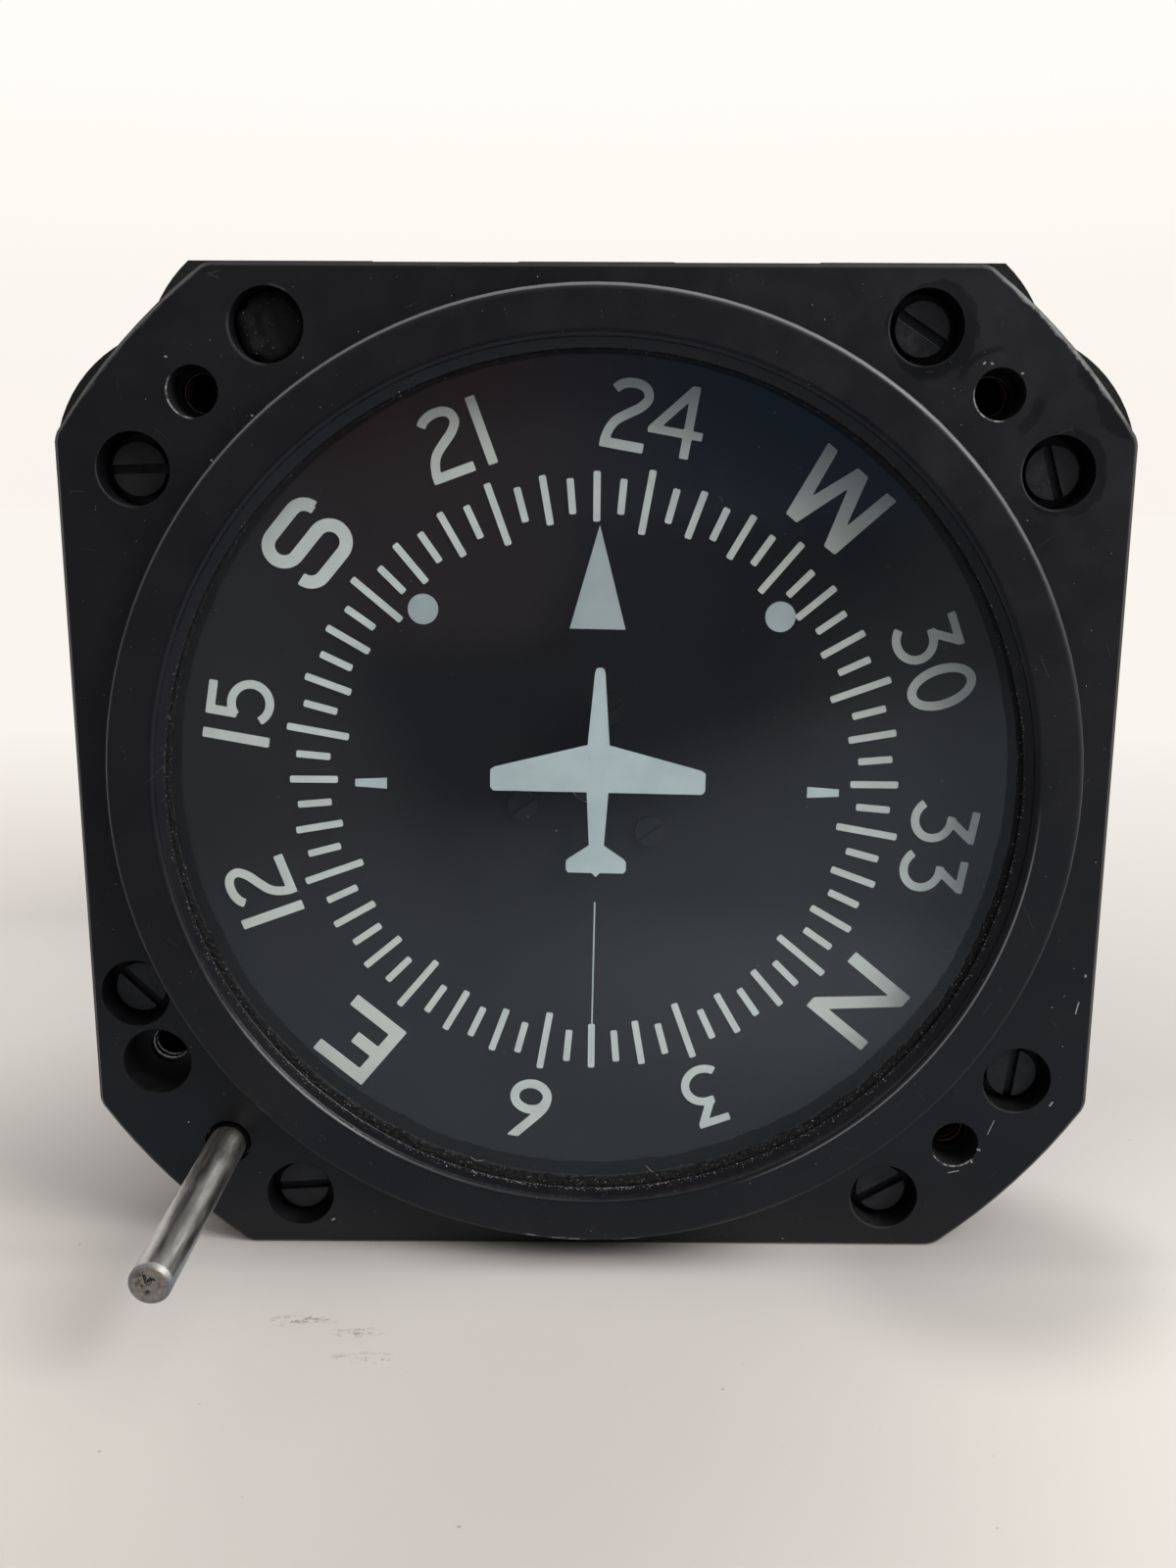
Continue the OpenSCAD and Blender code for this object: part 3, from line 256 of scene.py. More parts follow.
def black_paint(name, colour=(0.0047, 0.0045, 0.0062), smudge=(0.0074, 0.0072, 0.0092), dust=0.5,
                used=False):
    """Satin black enamel: smudges, orange peel, hairline scratches, dust and rubbed edges. The flange is
    used: it has oil, wear, and painted highlights and glints of its own."""
    t, at = new_material(name)
    t.base = t.mix(t.ramp(t.noise(at, 0.07, 4, 0.6), 0.35, 0.7), colour, smudge)
    t.rough = t.ramp(t.noise(at, 0.22, 4, 0.6), 0.3, 0.75, 0.33, 0.46)
    if used:
        flange_oil(t, at)

    # Hairline scratches: the borders of large cells, kept where a second noise is high
    warped = t.add(at, t.node("TexNoise", {"Vector": at, "Scale": 0.15}).outputs["Color"])
    cells = t.node("TexVoronoi", {"Vector": warped, "Scale": 0.16}, feature="DISTANCE_TO_EDGE")
    border = t.fall(cells.outputs["Distance"], 0.0015, 0.004)
    scratch = t.times(border, t.ramp(t.noise(at, 0.33, 2), 0.58, 0.63))
    t.coat(t.times(scratch, 0.3), (0.07, 0.07, 0.075))

    # Dust: fine specks in patches, more of them on what faces up
    patch = t.ramp(t.noise(t.add(at, (31, 7, 13)), 0.16, 3), 0.35, 0.6)
    lying = t.ramp(t.axis(t.node("NewGeometry").outputs["Normal"], 2), 0.2, 0.95)
    specks = 0.0
    for scale, share, size in ((1.1, 0.14, 0.06), (2.3, 0.14, 0.085), (0.45, 0.12, 0.035)):
        specks = t.most(specks, t.specks(at, scale, share, size * 0.5, size, 0.2, 1))
    specks = t.times(specks, t.most(patch, lying))
    film = t.times(lying, t.ramp(t.noise(at, 0.4, 4, 0.65), 0.35, 0.75, 0, 0.12))
    t.coat(t.times(film, dust), (0.22, 0.21, 0.20))
    t.coat(t.times(specks, dust), (0.36, 0.36, 0.35))
    t.roughen(specks, 0.3)

    # Rubbed edges, bare grey metal in the most worn places
    edge = t.edges(0.2)
    worn = t.times(t.ramp(edge, 0.06, 0.25), t.ramp(t.noise(at, 0.55, 5, 0.7), 0.55, 0.75, 0, 0.5))
    t.coat(worn, (0.035, 0.035, 0.035) if used else (0.09, 0.09, 0.09))
    if used:
        flange_wear(t, at, edge)
    peel = t.plus(t.noise(at, 1.6, 2), t.times(t.noise(at, 2.6, 3, 0.6), 0.2))
    peel = t.minus(peel, t.times(scratch, 0.5))
    return t.painted(Roughness=t.rough, IOR=1.48, Specular_IOR_Level=0.4,
                     Normal=t.bump(peel, 0.008, 0.5, t.rounded(0.12)))


def flange_oil(t, at):
    """Dark, smooth-edged smears of oil on the front of the flange, and grime in the mounting holes."""
    flat, y = t.millimetres((1, 0, 1)), t.axis(at, 1)
    wander = t.ramp(t.noise(at, 0.5, 2), 0.3, 0.7, -0.3, 0.3)
    oil = t.times(t.arcs(flat, OIL_ARCS, 0.25), 0.85)
    for x, z, radius in OIL_SPOTS:
        away = t.plus(t.distance(flat, (x, 0, z)), wander)
        oil = t.most(oil, t.fall(away, radius - 0.12, radius + 0.22))
    oil = t.times(oil, t.fall(y, 0.1, 0.4))
    t.coat(t.times(oil, 0.75), (0.0026, 0.0025, 0.0032))
    inside = 0.0
    for clock, _ in MOUNTING_HOLES[:3]:
        x, z = clock_point(BOLT_CIRCLE_R, clock)
        inside = t.most(inside, t.fall(t.distance(flat, (x, 0, z)), 2.05, 2.2))
    inside = t.times(inside, t.ramp(y, 0.1, 0.3))
    t.coat(inside, (0.0035, 0.0028, 0.0028))
    t.roughen(oil, -0.1)
    t.roughen(inside, 0.5)


def flange_wear(t, at, edge):
    """Light marks on the flange: pale grey along the turned corners, painted glints on the rims of holes and
    recesses, flecks, a painted highlight on the ring's upper edge, and the chips on the ring's edge. The
    window's lip is polished."""
    flat, y = t.millimetres((1, 0, 1)), t.axis(at, 1)
    radius = t.length(flat)
    # Dull grime along the edges of the flange and of its holes
    grimy = t.times(t.ramp(edge, 0.004, 0.05), t.ramp(radius, 40.0, 40.3))
    t.coat(grimy, (0.0035, 0.0033, 0.0035))
    t.roughen(grimy, 0.45)
    # The turned corners are light grey along a ragged line, the upper right one most
    ragged = t.ramp(t.noise(at, 0.45, 5, 0.62), 0.3, 0.7, -0.16, 0.16)
    band = t.times(t.ramp(t.plus(radius, ragged), 50.42, 50.56), t.fall(y, 0.2, 0.4))
    corners = 0.0
    for toward, strength in ((45.5, 1.0), (-45.0, 0.2)):
        dx, dz = clock_point(1, toward)
        corners = t.most(corners, t.ramp(t.dot(flat, (dx, 0, dz)), 49.9, 50.35, 0, strength))
    grey = t.mix(t.ramp(t.noise(at, 0.9, 5, 0.7), 0.35, 0.7), (0.055, 0.057, 0.060), (0.165, 0.168, 0.17))
    t.coat(t.times(band, corners), grey)
    # The ring's rounded edge is painted pale over its upper half, where light falls: a painted highlight
    rim = t.times(t.ramp(radius, RING_R - 0.34, RING_R - 0.26), t.ramp(y, -2.35, -2.5))
    above = t.ramp(t.math("DIVIDE", t.axis(at, 2), radius), 0.15, 0.9)
    t.coat(t.times(rim, above), (0.13, 0.133, 0.137))
    lip = t.times(t.ramp(radius, WINDOW_R - 0.3, WINDOW_R - 0.2), t.fall(radius, 35.9, 36.1))
    t.roughen(t.times(lip, t.fall(y, 0, 0.2)), -0.17)

    # Painted glints on the rims of holes and screws' recesses, with the real flecks and the lip's line
    marks = t.times(t.arcs(flat, PAINTED_HOLE_RIM_GLINTS, 0.05), t.ramp(t.noise(at, 1.8, 4, 0.7), 0.42, 0.56, 0.1, 0.9))
    marks = t.most(marks, t.times(t.arcs(flat, PAINTED_RECESS_RIM_GLINTS, 0.06), 0.06))
    marks = t.most(marks, t.times(t.arcs(flat, LIP_LINE, 0.05), 0.3))
    for fleck in FLECKS:
        marks = t.most(marks, t.times(t.line(flat, *fleck), 0.75))
    t.coat(t.times(marks, t.fall(y, 0.06, 0.2)), (0.36, 0.36, 0.36))
    chips = t.times(t.arcs(flat, RING_CHIPS, 0.05), t.ramp(t.noise(at, 2.2, 4, 0.7), 0.4, 0.55))
    t.coat(chips, (0.26, 0.26, 0.25))


def screw_black(name):
    """Blacked steel screws with bright rubbed slot edges and dirt in the slots."""
    t, at = new_material(name)
    tone = t.ramp(t.noise(at, 0.9, 4, 0.6), 0.3, 0.75)
    t.base = t.mix(tone, (0.0065, 0.0068, 0.0088), (0.015, 0.015, 0.017))
    t.coat(t.specks(at, 2.6, 0.2, 0.06, 0.12, 0.1, 0.7), (0.3, 0.29, 0.28))
    worn = t.times(t.ramp(t.edges(0.1), 0.03, 0.2), t.ramp(t.noise(at, 1.3, 4, 0.7), 0.5, 0.7))
    t.coat(t.times(worn, 0.6), (0.13, 0.13, 0.13))
    t.rough = t.ramp(t.noise(at, 1.4, 3), 0.3, 0.7, 0.28, 0.5)
    flat = t.millimetres((1, 0, 1))
    caked = 0.0
    for radius, clock in SCREWS[:2]:
        x, z = clock_point(radius, clock)
        caked = t.most(caked, t.fall(t.distance(flat, (x, 0, z)), 3.2, 3.4))
    t.coat(t.times(caked, 0.8), (0.0050, 0.0050, 0.0065))
    t.roughen(caked, 0.25)
    normal = t.bump(t.noise(at, 4.5, 3, 0.6), 0.02, 0.5, t.rounded(0.09))
    return t.painted(Roughness=t.rough, IOR=1.5, Specular_IOR_Level=0.4, Normal=normal)


def clear_glass(name):
    """Window glass. Shadow rays pass straight through it, so that it doesn't darken the card."""
    t = Tree(bpy.data.materials.new(name))
    glass = t.principled(Base_Color=(0.97, 0.985, 0.98, 1), Roughness=0.0, IOR=1.5, Transmission_Weight=1.0)
    clear = t.node("BsdfTransparent", {"Color": (0.96, 0.975, 0.97, 1)}).outputs[0]
    shadow = t.node("LightPath").outputs["Is Shadow Ray"]
    return t.finish(t.node("MixShader", {0: shadow, 1: glass, 2: clear}).outputs[0])


def rubber(name, colour=(0.007, 0.007, 0.008), pale=(0.02, 0.0195, 0.019), gritty=0.3):
    """Black rubber, or the black dirt that gathers beside it, with pale grit in it."""
    t, at = new_material(name)
    grain = t.noise(at, 5, 4, 0.7)
    t.base = t.mix(t.ramp(grain, 0.4, 0.8), colour, pale)
    t.coat(t.specks(at, 4.5, gritty, 0.12, 0.26, 0.05, 0.75), (0.4, 0.39, 0.37))
    return t.painted(Roughness=0.8, Specular_IOR_Level=0.25, Normal=t.bump(grain, 0.05, 0.8))


def printed_mark(name, colour, thin, yellowed=None, painted_shade_top=0.0):
    """Screen-printed paint: nearly even, a little thin and grubby in places, and, where asked, with painted
    shade that darkens it toward the top.
    """
    t, at = new_material(name)
    t.base = t.mix(t.ramp(t.noise(at, 0.35, 4, 0.6), 0.3, 0.75), colour, thin)
    t.coat(t.ramp(t.noise(at, 5.0, 3, 0.7), 0.56, 0.78, 0, 0.3), tuple(0.62 * c for c in thin))
    if yellowed:
        t.coat(t.ramp(t.noise(t.add(at, (50, 0, 20)), 0.05, 2), 0.4, 0.65, 0, 0.6), yellowed)
    # Painted shade: the print darkens toward the top, from z of 9 to 13 mm
    t.coat(t.ramp(t.axis(at, 2), 9, 13, 0, painted_shade_top), (0.1, 0.105, 0.11))
    return t.painted(Roughness=0.6, IOR=1.45, Normal=t.bump(t.noise(at, 6, 2), 0.01, 0.4))


def card_black(name):
    """Dead matt card paint, with the faintest turning marks and a few motes."""
    t, at = new_material(name)
    radius = t.length(t.millimetres((1, 0, 1)))
    rings = t.noise(t.node("CombineXYZ", {0: radius}).outputs[0], 2.4, 3, 0.6)
    tone = t.plus(t.noise(at, 0.12, 3), t.times(rings, 0.2))
    t.base = t.mix(t.ramp(tone, 0.45, 0.8), (0.0058, 0.0060, 0.0070), (0.0080, 0.0081, 0.0090))
    t.coat(t.specks(at, 0.55, 0.22, 0.02, 0.045, 0.03, 0.25), (0.3, 0.3, 0.3))
    normal = t.bump(t.noise(at, 2.5, 2), 0.003, 0.2)
    return t.painted(Roughness=0.8, Specular_IOR_Level=0.15, Normal=normal)


def screw_paint(name):
    """Card paint on screw heads, with the faintest painted shine on their rims."""
    t, at = new_material(name)
    tone = t.ramp(t.noise(at, 1.5, 3), 0.35, 0.7)
    t.base = t.mix(tone, (0.0050, 0.0052, 0.0060), (0.0078, 0.0079, 0.0088))
    # Painted shine: the rims' edges are coloured a little lighter than the heads
    t.coat(t.ramp(t.edges(0.12), 0.03, 0.2, 0, 0.8), (0.02, 0.02, 0.022))
    normal = t.bump(t.noise(at, 4, 2), 0.004, 0.3, t.rounded(0.06))
    return t.painted(Roughness=0.65, Specular_IOR_Level=0.2, Normal=normal)


def metal(name, colour, dull, stain, rough=(0.28, 0.48), stretch=(1, 1, 1), streak=3.0, nicks=0.0):
    """Bare metal with machining streaks along the least stretched axis, stains and nicks."""
    t, at = new_material(name)
    lines = t.noise(t.millimetres(stretch), streak, 4, 0.65)
    clouds = t.noise(at, 0.28, 4, 0.6)
    t.base = t.mix(t.ramp(lines, 0.3, 0.72), dull, colour)
    t.coat(t.ramp(t.noise(t.add(at, (9, 4, 2)), 0.5, 5, 0.72), 0.5, 0.72, 0, 0.4), stain)
    if nicks:
        t.coat(t.specks(t.add(at, (3, 3, 3)), 0.7, nicks, 0.04, 0.1, 0.2, 0.9), (0.03, 0.026, 0.022))
    roughness = t.ramp(t.plus(t.times(lines, 0.5), t.times(clouds, 0.5)), 0.3, 0.7, *rough)
    normal = t.bump(lines, 0.02, 0.35, t.rounded(0.08))
    return t.painted(Metallic=1.0, Roughness=roughness, Normal=normal)


def fibre(name, colour, dark, scale=2.0, depth=0.25):
    """Gasket paper, felt and leather: a soft tangle of fibres with dirt in it."""
    t, at = new_material(name)
    tangle = t.noise(at, scale, 5, 0.75, 1.5)
    dirt = t.ramp(t.noise(at, 0.35, 4, 0.65), 0.4, 0.7)
    t.base = t.mix(t.ramp(tangle, 0.3, 0.75), dark, colour)
    t.coat(t.times(dirt, 0.35), tuple(0.5 * c for c in dark))
    return t.painted(Roughness=0.9, Normal=t.bump(tangle, depth, 0.7))


def thread_steel(name):
    """Screw threads: rusty and dark, but for the clean ones beside the setting shaft."""
    t, at = new_material(name)
    x, z = clock_point(BOLT_CIRCLE_R, MOUNTING_HOLES[3][0])
    clean = t.fall(t.distance(t.millimetres((1, 0, 1)), (x, 0, z)), 2.5, 3.0)
    rust = t.ramp(t.noise(at, 1.2, 4, 0.7), 0.35, 0.65)
    t.base = t.mix(rust, (0.05, 0.045, 0.045), (0.13, 0.06, 0.05))
    t.coat(clean, t.mix(rust, (0.62, 0.63, 0.60), (0.30, 0.30, 0.28)))
    return t.painted(Metallic=1.0, Roughness=t.ramp(rust, 0, 1, 0.26, 0.42), Normal=t.bump(rust, 0.02, 0.4))


def loose_dust(name):
    """Grains and fibres of dust, each a shade of its own."""
    t, at = new_material(name)
    shade = t.node("NewGeometry").outputs["Random Per Island"]
    t.base = t.mix(shade, (0.05, 0.048, 0.045), (0.62, 0.6, 0.56))
    grain = t.noise(at, 30, 3)
    t.coat(t.ramp(grain, 0.4, 0.7, 0, 0.3), (0.2, 0.18, 0.15))
    return t.painted(Roughness=0.9, Normal=t.bump(grain, 0.01, 0.5))


def shaft_steel(name):
    """The setting shaft: steel brushed along its length, grimy toward the root, with painted shade at
    the root itself, and a hacked end.
    """
    t, at = new_material(name)
    x, z = clock_point(SHAFT_CIRCLE_R, SHAFT_CLOCK)
    y = t.axis(at, 1)
    turned = t.noise(t.millimetres((0.3, 1, 0.3)), 3.5, 4, 0.65)
    streaks = t.noise(t.millimetres((1, 0.12, 1)), 2.6, 4, 0.65)
    t.base = t.mix(t.ramp(streaks, 0.3, 0.75), (0.46, 0.45, 0.43), (0.61, 0.60, 0.58))
    clouds = t.ramp(t.noise(t.add(at, (4, 0, 8)), 0.9, 5, 0.75), 0.5, 0.75, 0, 0.3)
    clouds = t.plus(clouds, t.times(t.ramp(y, -7.0, -0.6), 0.4))
    t.coat(clouds, (0.17, 0.155, 0.14))
    # Painted shade where the shaft goes into the flange: near black over its last 0.3 mm
    t.coat(t.ramp(y, -0.28, -0.14), (0.010, 0.010, 0.011))
    t.coat(t.specks(t.millimetres((1, 0.6, 1)), 1.2, 0.25, 0.04, 0.1, 0.6, 0.6), (0.03, 0.027, 0.025))
    # One nick near the middle of the shaft's length
    nick = t.distance(t.millimetres((1, 0.45, 1)), (x - 1.25, -11.4 * 0.45, z + 0.95))
    t.coat(t.ramp(nick, 0.16, 0.3, 0.95, 0), (0.015, 0.015, 0.015))
    # Dark torn patches on the flat of the free end
    end = t.fall(y, SHAFT_END + 0.02, SHAFT_END + 0.1)
    middle = t.distance(at, (x - 0.2, SHAFT_END, z + 0.15))
    torn = t.times(t.ramp(t.noise(at, 1.6, 5, 0.75, 1.0), 0.47, 0.57), t.fall(middle, 0.5, 1.2))
    pitted = t.mix(t.ramp(t.noise(at, 3.0, 4, 0.7), 0.3, 0.7), (0.39, 0.325, 0.265), (0.58, 0.51, 0.44))
    t.coat(end, t.mix(torn, pitted, (0.03, 0.022, 0.018)))
    rim = t.ramp(y, SHAFT_END + 0.35, SHAFT_END + 0.5, 0.26, 0)
    t.rough = t.plus(t.ramp(streaks, 0.3, 0.7, 0.28, 0.38), rim)
    t.roughen(clouds, 0.14)
    relief = t.plus(t.times(turned, 0.5), t.times(streaks, 0.25))
    relief = t.minus(relief, t.times(torn, end))
    along = t.node("CombineXYZ", {1: 1.0}).outputs[0]
    return t.painted(Metallic=1.0, Roughness=t.rough, Anisotropic=0.75, Tangent=along,
                     Normal=t.bump(relief, 0.015, 0.3, t.rounded(0.12)))


# ---- Mesh building ----


def add_object(name, data):
    obj = bpy.data.objects.new(name, data)
    bpy.context.scene.collection.objects.link(obj)
    return obj


def add_mesh(name, body, material, vertices, faces, smooth=False):
    mesh = bpy.data.meshes.new(name)
    mesh.from_pydata([Vector(v) * MM for v in vertices], [], faces)
    mesh.validate()
    tidy = bmesh.new()
    tidy.from_mesh(mesh)
    bmesh.ops.recalc_face_normals(tidy, faces=tidy.faces)
    tidy.to_mesh(mesh)
    tidy.free()
    for p in mesh.polygons:
        p.use_smooth = smooth
    obj = add_object(name, mesh)
    mesh.materials.append(material)
    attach(obj, body)


def wall(first, sides, i, j):
    """Quads that join ring i to ring j of a tube whose rings have that many corners."""
    a, b = first + sides * i, first + sides * j
    return [(a + k, a + (k + 1) % sides, b + (k + 1) % sides, b + k) for k in range(sides)]


def tube(first, sides, steps):
    """Faces of a tube that is closed at both ends."""
    last = first + sides * steps
    quads = [quad for i in range(steps) for quad in wall(first, sides, i, i + 1)]
    return [*quads, tuple(range(first, first + sides)), tuple(range(last, last + sides))]


# Numerals and letters, drawn in millimetres about the middle of their cell: x is clockwise round
# the card and y is outward. A part is an outline, or an outline and its hole.


def arc(cx, cy, rx, ry, start, end, steps=28):
    """Points on an ellipse from one angle to another, in degrees."""
    angles = [radians(start + (end - start) * i / steps) for i in range(steps + 1)]
    return [(cx + rx * cos(a), cy + ry * sin(a)) for a in angles]


def smooth_path(points, steps=6):
    """A Catmull-Rom curve through the points."""
    p = [np.array(q, float) for q in (points[0], *points, points[-1])]
    out = []
    for a, b, c, d in zip(p, p[1:], p[2:], p[3:]):
        for k in range(steps):
            u = k / steps
            out.append(tuple(0.5 * (2 * b + (c - a) * u + (2 * a - 5 * b + 4 * c - d) * u * u
                                    + (3 * b - a - 3 * c + d) * u ** 3)))
    return [*out, tuple(p[-1])]


def stroke(path, width):
    """Outline of a pen stroke of that width, cut square at its ends."""
    pts = np.array(path, float)
    step = np.gradient(pts, axis=0)
    step /= np.linalg.norm(step, axis=1)[:, None]
    side = np.stack([-step[:, 1], step[:, 0]], axis=1) * width / 2
    return [tuple(p) for p in np.concatenate([pts + side, (pts - side)[::-1]])]


def rectangle(x0, y0, x1, y1):
    return [(x0, y0), (x1, y0), (x1, y1), (x0, y1)]


def moved(parts, dx, dy=0.0):
    return [tuple([(x + dx, y + dy) for x, y in loop] for loop in part) for part in parts]


TWO = [(stroke(smooth_path([(-0.05, -2.6), (-0.02, -2.1), (0.2, -1.35), (0.62, -0.72), (1.4, -0.12),
                            (2.2, 0.42), (2.72, 1.0), (2.83, 1.45), (2.62, 1.95), (2.12, 2.24),
                            (1.48, 2.3), (0.9, 2.2), (0.42, 1.96), (0.1, 1.62)]), 0.74),),
       (rectangle(-0.43, -2.98, 3.09, -2.2),)]
THREE = [([(-1.11, 1.95), (-1.11, 2.61), (1.68, 2.61), (1.68, 2.17), (0.665, 0.68), (0.4, -0.02),
           (-0.36, -0.02), (-0.36, 0.62), (-0.19, 0.68), (0.678, 1.95)],),
         (stroke(arc(0.12, -1.2, 1.63, 1.53, 95, -140), 0.7),)]
FIVE = [(rectangle(0.07, 2.14, 2.89, 2.84),), (rectangle(0.07, 0.27, 0.82, 2.84),),
        (stroke(arc(1.45, -0.77, 1.62, 1.6, 135, -145), 0.7),)]
SIX = [([(0.92, 2.65), (1.92, 2.65), (0.11, 0.37), (-0.3, -0.3), (-0.65, -1.23), (-1.43, -1.23),
         (-1.38, -0.7), (-1.2, -0.15), (-0.85, 0.42)],),
       (arc(0.4, -1.23, 1.83, 1.6, 0, 360)[:-1], arc(0.4, -1.23, 1.05, 0.82, 0, 360)[:-1])]
FOUR = [([(-0.91, -1.14), (-0.91, -0.72), (2.05, 2.95), (2.68, 2.95), (2.68, -0.48), (3.5, -0.48),
          (3.5, -1.14), (2.68, -1.14), (2.68, -2.73), (1.95, -2.73), (1.95, -1.14)],
         [(0.206, -0.48), (1.95, -0.48), (1.95, 1.68)])]
ZERO = [(arc(2.14, -0.25, 1.84, 2.93, 0, 360)[:-1], arc(2.14, -0.25, 1.08, 2.17, 0, 360)[:-1])]
S_PATH = [(2.64, 1.9), *arc(1.35, 1.85, 1.28, 1.28, 0, 90, 10),
          *arc(-1.34, 1.845, 1.285, 1.285, 90, 270, 20), *arc(1.33, -0.78, 1.34, 1.34, 90, -90, 20),
          *arc(-1.2, -0.82, 1.3, 1.3, 270, 180, 10)]
GLYPHS = {
    0: [([(-3.18, -3.18), (-3.18, 3.18), (-2.07, 3.18), (2.2, -1.55), (2.2, 3.18), (3.18, 3.18),
          (3.18, -3.18), (2.2, -3.18), (-2.07, 1.66), (-2.07, -3.18)],)],
    30: THREE,
    60: SIX,
    90: [([(-1.98, -2.45), (-1.98, 3.91), (3.39, 3.91), (3.39, 2.8), (-0.89, 2.8), (-0.89, 1.3),
           (1.25, 1.3), (1.25, 0.2), (-0.89, 0.2), (-0.89, -1.32), (3.43, -1.32), (3.43, -2.45)],)],
    120: [(rectangle(-2.05, -3.0, -1.23, 2.57),), *TWO],
    150: [(rectangle(-1.98, -2.73, -1.16, 2.84),), *FIVE],
    180: [(stroke(S_PATH, 1.06),)],
    210: [*moved(TWO, -3.37, 0.225), (rectangle(0.82, -2.75, 1.61, 2.8),)],
    240: [*moved(TWO, -4.09, 0.07), *FOUR],
    270: [([(-3.61, 3.25), (-2.59, 3.25), (-1.8, -0.75), (-0.45, 3.3), (0.64, 3.3), (1.93, -0.75),
            (2.64, 3.35), (3.66, 3.38), (2.73, -3.0), (1.59, -3.05), (0.02, 1.6), (-1.36, -3.09),
            (-2.5, -3.09)],)],
    300: [*moved(THREE, -2.38), *ZERO],
    330: [*moved(THREE, -2.05, -0.1), *moved(THREE, 2.33, -0.1)],
}
# The grid on which a glyph's parts are joined: its box, its step, and how often corners are
# blurred. Points this near to a straight line are left out, up to this longest side.
CELL = (-5.0, -4.0, 4.6, 4.8)
GRID = 0.05
CORNER_BLUR = 2
STRAIGHT = 0.0025
LONGEST = 0.8


def signed_distance(loop, x, y):
    """Distance to a closed outline, negative inside it."""
    pts = np.array(loop, float)
    best = np.full(x.shape, 1e9)
    inside = np.zeros(x.shape, bool)
    for (ax, ay), (bx, by) in zip(pts, np.roll(pts, -1, axis=0)):
        ex, ey = bx - ax, by - ay
        u = np.clip(((x - ax) * ex + (y - ay) * ey) / (ex * ex + ey * ey + 1e-12), 0, 1)
        best = np.minimum(best, np.hypot(x - ax - u * ex, y - ay - u * ey))
        if ay != by:
            inside ^= ((ay > y) != (by > y)) & (x < ex * (y - ay) / ey + ax)
    return np.where(inside, -best, best)


def glyph_loops(parts):
    """Outlines of the parts' union with slightly softened corners, found on a fine grid."""
    xs = np.arange(CELL[0], CELL[2], GRID)
    ys = np.arange(CELL[1], CELL[3], GRID)
    x, y = np.meshgrid(xs, ys)
    field = np.full(x.shape, 1e9)
    for part in parts:
        d = signed_distance(part[0], x, y)
        if len(part) > 1:
            d = np.maximum(d, -signed_distance(part[1], x, y))
        field = np.minimum(field, d)
    cover = np.clip(0.5 - field / (3 * GRID), 0, 1)
    for _ in range(CORNER_BLUR):
        for a in (0, 1):
            cover = (np.roll(cover, 1, a) + 2 * cover + np.roll(cover, -1, a)) / 4
    return contours(cover - 0.5, xs, ys)


def contours(f, xs, ys):
    """Closed loops where the field crosses zero, by marching over the squares of the grid."""
    points, links = {}, {}

    def crossing(i0, j0, i1, j1):
        key = (i0, j0, i1, j1)
        u = f[i0, j0] / (f[i0, j0] - f[i1, j1])
        points[key] = (xs[j0] + u * (xs[j1] - xs[j0]), ys[i0] + u * (ys[i1] - ys[i0]))
        return key

    sign = f > 0
    near, far = sign[:-1, :-1], sign[:-1, 1:]
    busy = (near != sign[1:, 1:]) | (far != sign[1:, :-1]) | (near != far)
    for i, j in zip(*np.nonzero(busy)):
        sides = ((i, j, i, j + 1), (i, j + 1, i + 1, j + 1), (i + 1, j, i + 1, j + 1), (i, j, i + 1, j))
        ends = [crossing(*s) for s in sides if sign[s[0], s[1]] != sign[s[2], s[3]]]
        for a, b in zip(ends[::2], ends[1::2]):
            links.setdefault(a, []).append(b)
            links.setdefault(b, []).append(a)
    loops = []
    while links:
        loop, here, before = [], min(links), None
        while here in links:
            loop.append(points[here])
            onward = [n for n in links.pop(here) if n != before]
            before, here = here, onward[0]
        loops.append(thinned(loop))
    return loops


def thinned(loop):
    """The loop without the points that lie on a straight line between their neighbours."""
    pts = [np.array(p) for p in loop]
    kept = [pts[0]]
    for k in range(1, len(pts) - 1):
        a, b = kept[-1], pts[k + 1]
        along = (b - a) / (np.linalg.norm(b - a) + 1e-12)
        between = pts[k] - a
        off = abs(along[0] * between[1] - along[1] * between[0])
        if off > STRAIGHT or np.linalg.norm(between) > LONGEST:
            kept.append(pts[k])
    return [tuple(p) for p in kept]


def card_numerals(material):
    """Every numeral and letter of the card as one printed piece."""
    curve = bpy.data.curves.new("card_numerals", "CURVE")
    curve.dimensions = "2D"
    curve.fill_mode = "BOTH"
    curve.extrude = PRINT_T / 2
    for heading, parts in GLYPHS.items():
        a = radians(heading - TOP_HEADING)
        out = Vector((sin(a), cos(a)))
        around = Vector((cos(a), -sin(a)))
        for loop in glyph_loops(parts):
            spline = curve.splines.new("POLY")
            spline.points.add(len(loop) - 1)
            spline.use_cyclic_u = True
            for point, (px, py) in zip(spline.points, loop):
                at = out * (NUMERAL_R + py) + around * px
                point.co = (at.x, at.y, 0, 1)
    holder = add_object("numerals_curve", curve)
    drawn = bpy.data.meshes.new_from_object(holder.evaluated_get(bpy.context.evaluated_depsgraph_get()))
    bpy.data.objects.remove(holder)
    welded = bmesh.new()
    welded.from_mesh(drawn)
    bmesh.ops.remove_doubles(welded, verts=welded.verts, dist=1e-4)
    welded.to_mesh(drawn)
    welded.free()
    vertices = [(v.co.x, CARD_Y - PRINT_T / 2 + v.co.z, v.co.y) for v in drawn.vertices]
    faces = [tuple(p.vertices) for p in drawn.polygons]
    add_mesh("card_numerals", "card_assembly", material, vertices, faces)


